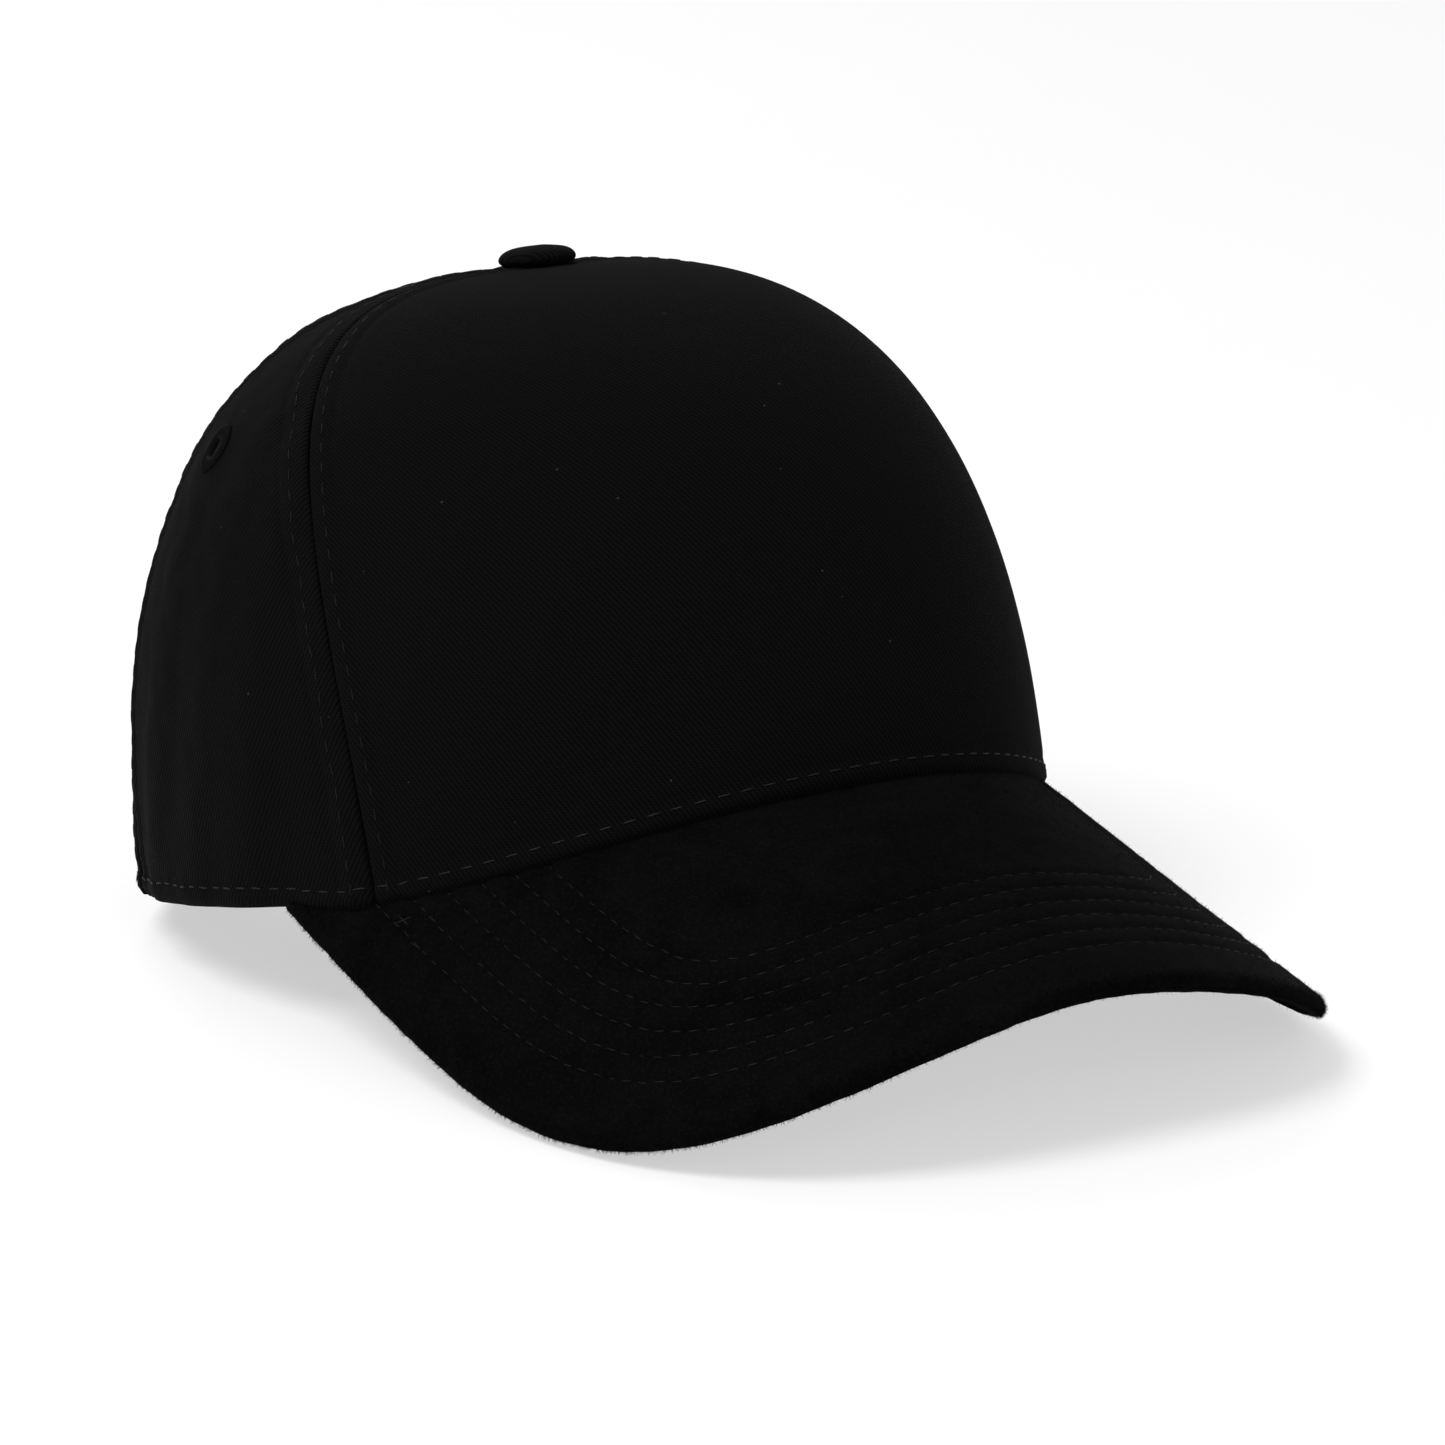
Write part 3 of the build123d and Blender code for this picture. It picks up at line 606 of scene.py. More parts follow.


# The seams are sewn in a finer thread than the foot. The three threads differ only in colour: the
# foot's and the peak's are painted lighter, a painted highlight, and the seams' are darker.
thread_finish = thread_of("polyester_thread", "#0e0e0f", "#202022")
seam_thread_finish = thread_of("fine_polyester_thread", "#060606", "#0f0f10")
peak_thread_finish = thread_of("peak_thread_painted_highlight", "#080808", "#131313")
thread = 0.40 * mm                  # a stitch's width where it lies on the cloth
fine_thread = 0.30 * mm
stitch_length = 3.1 * mm
thread_stand = 0.04 * mm
thread_height = 0.4                 # half of a stitch's height, as a share of its width


def row_beside(surface, line, away):
    """The line on the cloth that lies a distance in from an edge of it."""
    row = []
    for before, at, after in zip(line, line[1:], line[2:]):
        _, normal, _, _ = surface.find_nearest(at)
        sideways = (after - before).normalized().cross(normal) * away
        near = [surface.find_nearest(at + sideways), surface.find_nearest(at - sideways)]
        row.append(min(near, key=lambda found: found[3])[0])
    return row


def sew(bm, surface, row, pitch=stitch_pitch, length=stitch_length, width=thread, sunk=0.0):
    """Adds a row of stitches to a mesh, each a short arched thread with its ends drawn in, sunk
    more or less into a napped surface."""
    travelled, due = 0.0, pitch / 2
    sewn = bmesh.new()
    for k, (a, b) in enumerate(zip(row, row[1:])):
        step = (b - a).length
        course = row[min(k + 3, len(row) - 1)] - row[max(k - 2, 0)]
        while step > 0 and travelled + step >= due:
            middle, normal, _, _ = surface.find_nearest(a.lerp(b, (due - travelled) / step))
            along = (course - normal * course.dot(normal)).normalized()
            turn = Matrix((along, normal.cross(along), normal)).transposed().to_4x4()
            size = Matrix.Diagonal((length / 2, width / 2, width * thread_height, 1))
            stand = thread_stand - sunk * (0.7 + noise.noise(middle / (9 * mm)))
            bmesh.ops.create_uvsphere(
                sewn, u_segments=8, v_segments=5, radius=1,
                matrix=Matrix.Translation(middle + normal * stand) @ turn @ size)
            due += pitch
        travelled += step
    strip = bpy.data.meshes.new("row")
    sewn.to_mesh(strip)
    sewn.free()
    bm.from_mesh(strip)
    bpy.data.meshes.remove(strip)


button_clear = 9.0 * mm
seam_rows, foot_rows = bmesh.new(), bmesh.new()
for panel, line, away in stitch_lines:
    surface = cloth_surfaces[panel]
    row = [p for p in row_beside(surface, line, away) if hypot(p.x, p.y) > button_clear]
    if away == hem_stitch:
        sew(foot_rows, surface, row)
    else:
        sew(seam_rows, surface, row, width=fine_thread)
piece("foot_stitching", foot_rows, thread_finish, "cap")
piece("seam_stitching", seam_rows, seam_thread_finish, "cap")

# ---------- Eyelets ----------
# Four breathing holes, each bound by a machine-embroidered ring of rayon satin stitch that
# wraps the cut edge of the cloth from face to back.

# Satin-stitched rayon: close threads round the ring, glossier than the drill.
eyelet_finish, tree = new_finish("rayon_embroidery")
strand = grain(tree, "Noise", 0.5 * mm, Detail=2.0)
coat(tree, mix(tree, strand, "#040404", "#0a0a0b"), strand, 0.3, 0.08 * mm, Roughness=0.7,
     Specular_IOR_Level=0.03)

eyelet_strands = 44
# Half of the ring's section, as distance from the middle and height over the cloth, in mm.
eyelet_section = [
    (2.1, -2.3), (2.1, 0.25), (2.7, 0.62), (3.9, 0.72), (5.0, 0.52), (5.6, 0.1), (5.4, -0.3),
    (4.6, -0.45), (4.6, -1.9), (5.4, -2.05), (5.3, -2.45), (3.6, -2.6)]


def on_crown(turn, height):
    """A frame on the crown: x runs round to the wearer's left, y up and z straight out."""
    small = 0.5 * mm
    swing = small / crown_half_width
    wide = crown_point(turn + swing, height) - crown_point(turn - swing, height)
    up = crown_point(turn, height + small) - crown_point(turn, height - small)
    out = wide.cross(up).normalized()
    side = wide.normalized()
    axes = Matrix((side, out.cross(side), out)).transposed().to_4x4()
    return Matrix.Translation(crown_point(turn, height)) @ axes


def turned_solid(section, steps):
    """A section, as (distance from the axis, height) points, turned about the upright axis."""
    bm = bmesh.new()
    line = [bm.verts.new((r, 0, z)) for r, z in section]
    edges = [bm.edges.new(pair) for pair in zip(line, line[1:])]
    if section[0][0] > 0:
        edges.append(bm.edges.new((line[-1], line[0])))
    bmesh.ops.spin(bm, geom=line + edges, cent=(0, 0, 0), axis=(0, 0, 1), angle=2 * pi,
                   steps=steps, use_merge=True)
    bmesh.ops.remove_doubles(bm, verts=bm.verts, dist=0.005 * mm)
    return bm


for name, turn in eyelet_turns.items():
    bm = turned_solid([(r * mm, z * mm) for r, z in eyelet_section], 4 * eyelet_strands)
    for v in bm.verts:
        around = Vector((v.co.x, v.co.y))
        ridge = 0.5 + 0.5 * cos(eyelet_strands * around.angle_signed(Vector((1, 0)), 0))
        swell = 1 + 0.035 * ridge
        v.co = Vector((v.co.x * swell, v.co.y * swell, v.co.z * (1 + 0.16 * ridge)))
    bmesh.ops.recalc_face_normals(bm, faces=bm.faces)
    bm.transform(on_crown(turn, eyelet_height))
    other = mirrored(bm)
    for side, half in (("left", bm), ("right", other)):
        piece(f"{name}_eyelet_ring_{side}", half, eyelet_finish, "cap",
              [f"eyelet_{name}_{side}"])

# ---------- Button ----------
# A pressed steel cap covered with a disc of the same drill, gathered under its rim, and
# riveted through the meeting point of the five panels.

button_radius = 8.3 * mm
button_height = 4.3 * mm
button_gathers = 14
# The dome's section, as shares of the radius and of the height.
button_section = [
    (0.0, 1.0), (0.3, 0.985), (0.55, 0.93), (0.76, 0.83), (0.9, 0.68), (0.98, 0.5), (1.0, 0.36),
    (0.975, 0.2), (0.9, 0.08), (0.8, 0.02), (0.0, 0.0)]
button_seat = crown_point(0.0, crown_cap).z
bm = turned_solid([(r * button_radius, h * button_height) for r, h in button_section], 72)
bmesh.ops.recalc_face_normals(bm, faces=bm.faces)
map_cloth(bm, {v: v.co.xy for v in bm.verts})
bm.normal_update()
lifts = {}
for v in bm.verts:
    gathered = max(0.0, 1 - v.co.z / (0.55 * button_height))
    around = Vector((v.co.x, v.co.y)).angle_signed(Vector((1, 0)), 0)
    lifts[v] = -0.22 * mm * gathered * (0.5 + 0.5 * cos(button_gathers * around))
    lifts[v] += 0.08 * mm * noise.noise(v.co / (2.5 * mm))
push(bm, lifts)
bmesh.ops.translate(bm, verts=bm.verts, vec=(0, crown_top_behind, button_seat))
button = piece("button_cloth", bm, drill_finish, "cap", ["button_cover"])
smooth = button.modifiers.new("smooth", "SUBSURF")
smooth.levels = smooth.render_levels = 1

# ---------- Peak ----------
# A curved polyethylene board between two covers of black suede, rounded together at the
# edge, with six rows of stitching that run round from temple to temple.

peak_nose_behind = 28.2 * mm
peak_nose_length = 104.5 * mm
peak_fullness = 2.74
peak_thickness = 4.0 * mm
peak_roll = peak_thickness / 2
suede_thick = 0.9 * mm
nose_y = peak_nose_behind - crown_half_length
row_distances = [d * mm for d in (14.5, 20.4, 26.3, 32.2, 38.1, 44.0)]
row_pitch = 3.9 * mm
row_stitch = 2.7 * mm
row_thread = 0.34 * mm
nap_sink = 0.13 * mm                # how deep the stitches lie in the nap


def rim_plan(way, inset):
    """The peak's edge in plan: way is 0 at the nose, 1 where the nose starts, 2 at the temple."""
    half = peak_half_width - inset
    if way > 1:
        start = temple_x - inset
        back = 2 - way
        return start + (half - start) * sin(back * pi / 2), temple_y + (nose_y - temple_y) * back
    power = 2 / peak_fullness
    return (half * sin(way * pi / 2) ** power,
            nose_y - (peak_nose_length - inset) * max(cos(way * pi / 2), 0.0) ** power)


def rim_point(share, inset=0.0):
    """A point of the peak's edge, on its surface; share is -1 to 1 along it, right to left."""
    x, y = rim_plan(ways[min(round(abs(share) * rim_steps), rim_steps)], inset)
    x = x if share > 0 else -x
    return Vector((x, y, peak_height(x, y)))


# Ways spaced evenly along the edge, so that the covers' columns are even.
rim_steps = 2000
ways = [2 * k / rim_steps for k in range(rim_steps + 1)]
trail = [Vector(rim_plan(way, 0.0)) for way in ways]
run = [0.0]
for a, b in zip(trail, trail[1:]):
    run.append(run[-1] + (b - a).length)
evenly, index = [], 0
for k in range(rim_steps + 1):
    while index < rim_steps - 1 and run[index + 1] < run[-1] * k / rim_steps:
        index += 1
    part = (run[-1] * k / rim_steps - run[index]) / (run[index + 1] - run[index])
    evenly.append(ways[index] + min(max(part, 0.0), 1.0) * (ways[index + 1] - ways[index]))
ways = evenly

rim_tree = tree_of([rim_point(k / rim_steps) for k in range(-rim_steps, rim_steps + 1)])


def peak_normal(x, y):
    """The way straight out of the peak's top surface."""
    small = 0.2 * mm
    return Vector((
        (peak_height(x - small, y) - peak_height(x + small, y)) / (2 * small),
        (peak_height(x, y - small) - peak_height(x, y + small)) / (2 * small), 1)).normalized()


def peak_joint(share):
    """Where the peak goes in under the crown, from temple to temple."""
    turn = temple * share
    spot = crown_point(turn, foot_height(turn), 1.6 * mm)
    return Vector((spot.x, spot.y, peak_height(spot.x, spot.y)))


def peak_cover(columns, rows, roll_rows, under):
    """One cover: its sheet from the crown to the edge, then its half of the rounded edge."""
    bm = bmesh.new()
    bmesh.ops.create_grid(bm, x_segments=columns, y_segments=rows + roll_rows, size=0.5)
    sheet_points = {}
    for v in bm.verts:
        share = 2 * round((v.co.x + 0.5) * columns) / columns - 1
        row = round((v.co.y + 0.5) * (rows + roll_rows))
        if row <= rows:
            out = row / rows
            flat = peak_joint(share).lerp(rim_point(share, peak_roll), out ** 0.85)
            sunk = 0.0
        else:
            roll = (row - rows) / roll_rows * pi / 2
            flat = rim_point(share, peak_roll * (1 - sin(roll)))
            sunk = peak_roll * (1 - cos(roll))
        if under:
            sunk = peak_thickness - sunk
        normal = peak_normal(flat.x, flat.y)
        top = Vector((flat.x, flat.y, peak_height(flat.x, flat.y)))
        v.co = top - normal * sunk
        sheet_points[v] = top
    if not under:
        bmesh.ops.reverse_faces(bm, faces=bm.faces)
    bm.normal_update()
    return bm, sheet_points


def quilt(bm, tops, dip):
    """Draws the suede down along the rows of stitches, and roughens its nap."""
    lifts = {}
    for v, top in tops.items():
        away = rim_tree.find(top)[2]
        lift = 0.0
        for distance in row_distances:
            lift -= dip * exp(-((away - distance) / (0.75 * mm)) ** 2)
            lift += 0.3 * dip * exp(-((away - distance - 2.9 * mm) / (1.8 * mm)) ** 2)
        lift += 0.10 * mm * noise.noise(v.co / (1.3 * mm))
        lift += 0.14 * mm * noise.noise(v.co / (6.0 * mm))
        lift += 0.35 * mm * noise.noise(v.co / (34.0 * mm) + Vector((3, 1, 4)))
        lifts[v] = lift
    push(bm, lifts)


def ramp(tree, share, *stops):
    """A colour ramp with two stops, each a position and a hex code."""
    made = add(tree, "ValToRGB", {0: share})
    for element, (position, code) in zip(made.color_ramp.elements, stops):
        element.color = srgb(code)
        element.position = position
    return made.outputs[0]


# Black brushed suede: a short uneven nap that scatters nearly all light, mottled where the
# nap lies differently, with tips a little paler than the roots.
suede_finish, tree = new_finish("brushed_suede")
patches = grain(tree, "Noise", 17 * mm, Detail=6.0, Roughness=0.62, Distortion=0.8)
stroked = add(tree, "MapRange", {0: patches, 1: 0.30, 2: 0.72})
nap = grain(tree, "Noise", 0.8 * mm, Detail=4.0, Roughness=0.75)
tips = grain(tree, "Voronoi", 0.9 * mm)
mottle = mix(tree, stroked.outputs[0], "#020202", "#0a0a0a")
tipped = ramp(tree, tips, (0.02, "#121212"), (0.5, "#050505"))
lit = mix(tree, calc(tree, "MULTIPLY", nap, 0.75), mottle, tipped)
pile = calc(tree, "MULTIPLY_ADD", tips, -0.3, nap)
coat(tree, lit, pile, 0.8, 0.3 * mm, Roughness=1.0, Specular_IOR_Level=0.02, Sheen_Weight=0.008,
     Sheen_Roughness=0.4, Sheen_Tint=srgb("#dedad8"))

top_bm, tops = peak_cover(300, 84, 6, under=False)
quilt(top_bm, tops, 0.42 * mm)
peak_top = BVHTree.FromBMesh(top_bm)
under_bm, unders = peak_cover(240, 60, 6, under=True)
quilt(under_bm, unders, 0.36 * mm)
peak_under = BVHTree.FromBMesh(under_bm)


fibre_radius = 0.045 * mm
fibre_spread = 0.8                  # how far the fibres lean, against standing straight
rim_band = 3 * mm


def grow_nap(bm, source, count, seed, edge_only):
    """Adds single fibres, each a fine three-sided spike, standing out of the suede."""
    noise.seed_set(seed)
    longest = 0.8 if edge_only else 0.5
    faces = [f for f in source.faces
             if not edge_only or rim_tree.find(f.calc_center_median())[2] < rim_band]
    for k in range(count):
        face = faces[int(noise.random() * len(faces)) % len(faces)]
        corners = [v.co for v in face.verts]
        root = corners[0].lerp(corners[1], noise.random()).lerp(
            corners[3].lerp(corners[2], noise.random()), noise.random())
        lean = noise.random_unit_vector() * fibre_spread
        tip = root + (face.normal + lean).normalized() * (0.4 + longest * noise.random()) * mm
        side = (tip - root).orthogonal().normalized() * fibre_radius
        other = side.cross((tip - root).normalized())
        foot = [bm.verts.new(root + side), bm.verts.new(root - 0.5 * side + 0.87 * other),
                bm.verts.new(root - 0.5 * side - 0.87 * other)]
        point = bm.verts.new(tip)
        bm.faces.new(foot[::-1])
        for a, b in ((0, 1), (1, 2), (2, 0)):
            bm.faces.new((foot[a], foot[b], point))


nap_bm = bmesh.new()
grow_nap(nap_bm, top_bm, 9000, 3, edge_only=False)
grow_nap(nap_bm, top_bm, 5000, 5, edge_only=True)
grow_nap(nap_bm, under_bm, 3500, 7, edge_only=True)
bmesh.ops.recalc_face_normals(nap_bm, faces=nap_bm.faces)
for face, bm in (("top", top_bm), ("under", under_bm)):
    cover = piece(f"peak_suede_{face}", bm, suede_finish, "cap", [f"peak_{face}_cover"],
                  suede_thick)
piece("peak_nap", nap_bm, suede_finish, "cap")


def peak_row(distance, surface):
    """A row of stitches' line, where the peak is a distance in from its edge."""
    row = []
    for k in range(-400, 401):
        share = k / 400
        joint, rim = peak_joint(share), rim_point(share)
        low, high = 0.0, 1.0
        if rim_tree.find(joint)[2] < distance:
            continue
        for _ in range(14):
            half = (low + high) / 2
            at = joint.lerp(rim, half)
            at.z = peak_height(at.x, at.y)
            if rim_tree.find(at)[2] > distance:
                low = half
            else:
                high = half
        row.append(surface.find_nearest(at)[0])
    return row


bm = bmesh.new()
for distance in row_distances:
    for surface in (peak_top, peak_under):
        sew(bm, surface, peak_row(distance, surface), row_pitch, row_stitch, row_thread, nap_sink)
# A short cross of back-stitches where the outermost row ends at the temple, each by where its
# middle is and how it is turned.
back_stitches = ((81.6, -56.0, 0.5), (81.6, -56.0, -0.9), (83.0, -61.5, 0.3))
for sign in (-1, 1):
    for x, y, turn in back_stitches:
        at = Vector((sign * x, y, 0)) * mm
        at.z = peak_height(at.x, at.y)
        way = Vector((sin(turn), cos(turn), 0)) * 2.4 * mm
        sew(bm, peak_top, [at - way, at + way], 4.7 * mm, 4.4 * mm)
piece("peak_stitching", bm, peak_thread_finish, "cap")

# ---------- Buckram and seam tapes ----------
# Starched open-weave buckram is fused behind the front panel, and cotton tapes are sewn
# over the seams and round the opening, so no raw edge shows inside.

lining_face = 1.25 * mm             # from the crown's outside to the back of the drill
lining = 0.8 * mm
tape_width = 16.0 * mm
tape_hub = 18.0 * mm                # tapes stop this far from the button's middle
arch_tape_width = 7.0 * mm

# Buckram: pale starched cotton scrim, its threads far apart and stiff with size.
buckram_finish, tree = new_finish("starched_buckram")
scrim_pitch = 0.9 * mm
warp, weft = (stripes(tree, scrim_pitch, "cloth", way, Distortion=0.6) for way in "XY")
scrim = calc(tree, "MAXIMUM", warp, weft)
coat(tree, mix(tree, scrim, "#8f8c84", "#cac7bd"), scrim, 0.8, 0.2 * mm, Roughness=0.8,
     Specular_IOR_Level=0.25)

# Plain-weave cotton tape: square fine weave, flatter and greyer than the drill.
tape_finish, tree = new_finish("cotton_tape")
tape_pitch = 0.7 * mm
warp, weft = (stripes(tree, tape_pitch, "cloth", way, Distortion=0.8) for way in "XY")
plain = calc(tree, "MULTIPLY", warp, weft)
coat(tree, mix(tree, plain, "#0b0b0d", "#1d1d20"), plain, 0.7, 0.15 * mm, Roughness=0.85,
     Specular_IOR_Level=0.08, Sheen_Weight=0.03)


def height_near_hub(depth):
    """The height at which the surface at a depth is as far out as the tapes' ends."""
    low, high = 0.0, crown_height - depth
    for _ in range(30):
        half = (low + high) / 2
        low, high = (half, high) if crown_point(pi / 2, half, depth).x > tape_hub else (low, half)
    return low


hub_height = height_near_hub(lining_face)


def beside_seam(angle_at, shift):
    """A seam's angle, moved sideways on the cloth by a distance."""
    def moved(share):
        middle = crown_point(angle_at(share), crown_height * sin(pi / 2 * share) ** height_power)
        return angle_at(share) + shift / max(hypot(middle.x, middle.y), tape_hub)
    return moved


def taped(place, columns, rows, name, node, finish=tape_finish, both=False):
    """A flat lining piece laid on the crown's inside, and its mirror image if it has one."""
    bm = lay_cloth(place, columns, rows, lining_face)[0]
    halves = [("_left", bm), ("_right", mirrored(bm))] if both else [("", bm)]
    for side, half in halves:
        piece(name + side, half, finish, "cap", [node + side], lining)


half_tape = tape_width / 2


def over_seam(angle_at, **limits):
    """Places on a tape that lies with its middle on a seam."""
    return between(beside_seam(angle_at, -half_tape), beside_seam(angle_at, half_tape), **limits)


taped(between(beside_seam(lambda s: -front_seam(s), half_tape), beside_seam(front_seam, -half_tape),
              high=hub_height), 60, 50, "buckram_front", "front_buckram", buckram_finish)
taped(over_seam(front_seam, high=hub_height), 8, 60, "tape_front", "seam_tape_front", both=True)
taped(over_seam(lambda s: rear_seam, high=hub_height * 0.995), 8, 60, "tape_rear",
      "seam_tape_rear", both=True)
taped(over_seam(lambda s: pi, low=opening_top + arch_tape_width, high=hub_height * 0.985), 8, 40,
      "tape_back", "seam_tape_back")


def along_arch(across_share, up_share):
    """Places on the tape that binds the opening."""
    x, height = arch_point(across_share, up_share * arch_tape_width)
    turn = turn_at(abs(x), height, lining_face)
    return (turn if x > 0 else 2 * pi - turn), height


taped(along_arch, 90, 6, "tape_arch", "arch_tape")

# ---------- Sweatband and label ----------
# A strip of soft foam under a brushed wicking face, sewn to the crown's foot all round
# except behind the strap, with a blank woven satin label on the wearer's left.

inner_face = 2.10 * mm
foam_thick = 2.2 * mm
band_face = 4.35 * mm
band_skin = 0.8 * mm
band_height = 34.0 * mm
band_rise = 1.0 * mm
band_back_end = 46.0 * mm
foam_back_end = 68.0 * mm
crest_height = peak_height(0.0, -crown_half_length)


def band_foot(turn, depth):
    """The sweatband's lower edge: straight behind, and an arc over the peak in front."""
    y = crown_point(turn, 0.0, depth).y
    grade = (back_height - temple_height) / (crown_half_length - temple_y)
    if y > temple_y:
        return temple_height + grade * (y - temple_y) + band_rise
    start = Vector((temple_y, temple_height))
    chord = Vector((-crown_half_length, crest_height)) - start
    upward = Vector((-grade, 1.0)).normalized()
    radius = chord.length_squared / (2 * chord.dot(upward))
    centre = start + upward * radius
    return centre.y - sqrt(radius ** 2 - (y - centre.x) ** 2) + band_rise


def sweatband_place(back_end, depth, low=0.0, high=band_height):
    """Places on the sweatband between two heights over its foot, round to its ends behind."""
    end = turn_at(back_end, 10 * mm, depth)

    def place(across_share, up_share):
        turn = end * (2 * across_share - 1)
        return turn, band_foot(turn, depth) + low + (high - low) * up_share
    return place


# Brushed polyester knit: a matt black face with fine vertical ribs of loops.
band_finish, tree = new_finish("wicking_knit")
ribs = stripes(tree, 1.1 * mm, "cloth", Distortion=0.5)
courses = stripes(tree, 0.8 * mm, "cloth", "Y", Distortion=1.5)
loops = calc(tree, "MULTIPLY", ribs, courses)
coat(tree, mix(tree, loops, "#0c0c0e", "#202024"), loops, 0.7, 0.2 * mm, Roughness=0.9,
     Specular_IOR_Level=0.06, Sheen_Weight=0.06, Sheen_Roughness=0.5)

# Open-cell polyurethane foam: charcoal, with cells just large enough to see.
foam_finish, tree = new_finish("open_cell_foam")
pores = grain(tree, "Voronoi", 0.7 * mm)
coat(tree, mix(tree, pores, "#242426", "#3c3c3e"), pores, 0.6, 0.2 * mm, Roughness=0.95,
     Specular_IOR_Level=0.1)


def round_edges(made, width, segments=3):
    """Rounds a thick sheet's cut edges."""
    bevel = made.modifiers.new("round", "BEVEL")
    bevel.width = width
    bevel.segments = segments
    bevel.limit_method = "ANGLE"
    bevel.angle_limit = radians(50)
    return made


bm = lay_cloth(sweatband_place(foam_back_end, inner_face), 200, 14, inner_face, crowd=0.0)[0]
foam = piece("sweatband_padding", bm, foam_finish, "cap", ["sweatband_foam"],
             foam_thick)
round_edges(foam, 0.7 * mm)

bm, cells, woven = lay_cloth(
    sweatband_place(band_back_end, band_face), 260, 26, band_face, crowd=0.0)
lifts = {}
for v in bm.verts:
    along, up = woven[v]
    lifts[v] = 0.10 * mm * noise.noise(Vector((along / (14 * mm), up / (20 * mm), 1.7)))
push(bm, lifts)
band_inside = bm.copy()
bmesh.ops.reverse_faces(band_inside, faces=band_inside.faces)
band_inside.normal_update()
for v in band_inside.verts:
    v.co += v.normal * band_skin
band_surface = BVHTree.FromBMesh(band_inside)
band_cloth = piece("sweatband_knit", bm, band_finish, "cap", ["sweatband_face"],
                   band_skin)
round_edges(band_cloth, 0.3 * mm, 2)

band_stitching = bmesh.new()
band_row = 3.0 * mm                 # from an edge of the band to its row of stitches
for rise in (band_row, band_height - band_row):
    place = sweatband_place(band_back_end - 1 * mm, band_face + band_skin, rise, rise)
    row = [crown_point(*place(k / 500, 0.0), band_face + band_skin) for k in range(501)]
    sew(band_stitching, band_surface, row)
piece("sweatband_stitching", band_stitching, thread_finish, "cap")

# Woven polyester satin, left blank: a bright smooth white with fine cross threads.
label_finish, tree = new_finish("woven_satin")
satin = stripes(tree, 0.5 * mm, "cloth", "Y", Distortion=0.4)
coat(tree, mix(tree, satin, "#cfcdc8", "#e2e0dc"), satin, 0.3, 0.08 * mm, Roughness=0.45,
     Specular_IOR_Level=0.4)

label_turn = radians(128.0)
label_middle = 18.0 * mm
label_wide, label_high = 30.0 * mm, 18.0 * mm
label_depth = band_face + band_skin + 0.05 * mm
label_bend = 91.5 * mm              # the band's radius there
label_swing = label_wide / 2 / label_bend


def label_place(across_share, up_share):
    """Places on the label, which lies flat on the band."""
    return (label_turn + label_swing * (2 * across_share - 1),
            label_middle + label_high * (up_share - 0.5))


bm = lay_cloth(label_place, 24, 16, label_depth, crowd=0.0)[0]
label = piece("blank_label", bm, label_finish, "cap", ["care_label"], 0.4 * mm)

# ---------- Rear strap, tab and buckle ----------
# A strap of doubled drill sewn inside on the wearer's right runs round under a cam buckle,
# which a short tab holds on the wearer's left.

strap_width = 20.0 * mm
strap_low = back_height + 4.2 * mm
strap_middle = strap_low + strap_width / 2
strap_run_depth = 3.5 * mm          # to the middle of its outer length
strap_fold_depth = 2.55 * mm        # to the middle of the folded end
strap_thick = 0.85 * mm
strap_fold_from, strap_far, strap_near = 45.0 * mm, 64.0 * mm, 60.0 * mm
strap_bend = 1.5 * mm               # how long the bend at the far side is
strap_row = 2.2 * mm                # from an edge of the strap to its row of stitches

# The strap's line: from the folded end out to the far side, back, and under the buckle.
fold_radius = (strap_run_depth - strap_fold_depth) / 2
bend_at = strap_bend - strap_far
strap_line = [(-strap_fold_from - (strap_far - strap_fold_from - strap_bend) * k / 12,
               strap_fold_depth) for k in range(13)]
strap_line += [(bend_at - fold_radius * sin(pi * k / 6) * 1.6,
                strap_fold_depth + fold_radius * (1 - cos(pi * k / 6))) for k in range(1, 6)]
strap_line += [(bend_at + (strap_near - bend_at) * k / 90, strap_run_depth) for k in range(91)]


def behind(x, height, depth):
    """A point of the crown's back, a distance to the wearer's left of the middle."""
    turn = turn_at(abs(x), height, depth)
    return crown_point(turn if x > 0 else 2 * pi - turn, height, depth)


def strip(line_points, width, rows, name, nodes, finish, slot, thick):
    """A flat strip of cloth along a line of (point at a height) functions."""
    bm = bmesh.new()
    columns = len(line_points) - 1
    bmesh.ops.create_grid(bm, x_segments=columns, y_segments=rows, size=0.5)
    travelled = [0.0]
    for a, b in zip(line_points, line_points[1:]):
        travelled.append(travelled[-1] + (b(0.0) - a(0.0)).length)
    woven = {}
    for v in bm.verts:
        i, j = round((v.co.x + 0.5) * columns), round((v.co.y + 0.5) * rows)
        up = (j / rows - 0.5) * width
        woven[v] = (travelled[i], up)
        v.co = line_points[i](up)
    map_cloth(bm, woven)
    bm.normal_update()
    surface = BVHTree.FromBMesh(bm)
    made = piece(name, bm, finish, "cap", nodes, thick, out=0.0)
    round_edges(made, 0.25 * mm, 2)
    return made, surface


strap_points = [lambda up, x=x, depth=depth: behind(x, strap_middle + up, depth)
                for x, depth in strap_line]
strap_cloth, strap_surface = strip(strap_points, strap_width, 12, "strap_cloth", ["strap"],
                                   drill_finish, "cotton_twill", strap_thick)
bm = bmesh.new()
for up in (strap_row - strap_width / 2, strap_width / 2 - strap_row):
    row = [behind((k / 200 * 118 - 60) * mm, strap_middle + up, strap_run_depth - strap_thick / 2)
           for k in range(201)]
    sew(bm, strap_surface, row, 3.6 * mm, 2.4 * mm)
for v in bm.verts:
    v.co += Vector((v.co.x, v.co.y, 0)).normalized() * strap_thick / 2
piece("strap_stitching", bm, thread_finish, "cap")

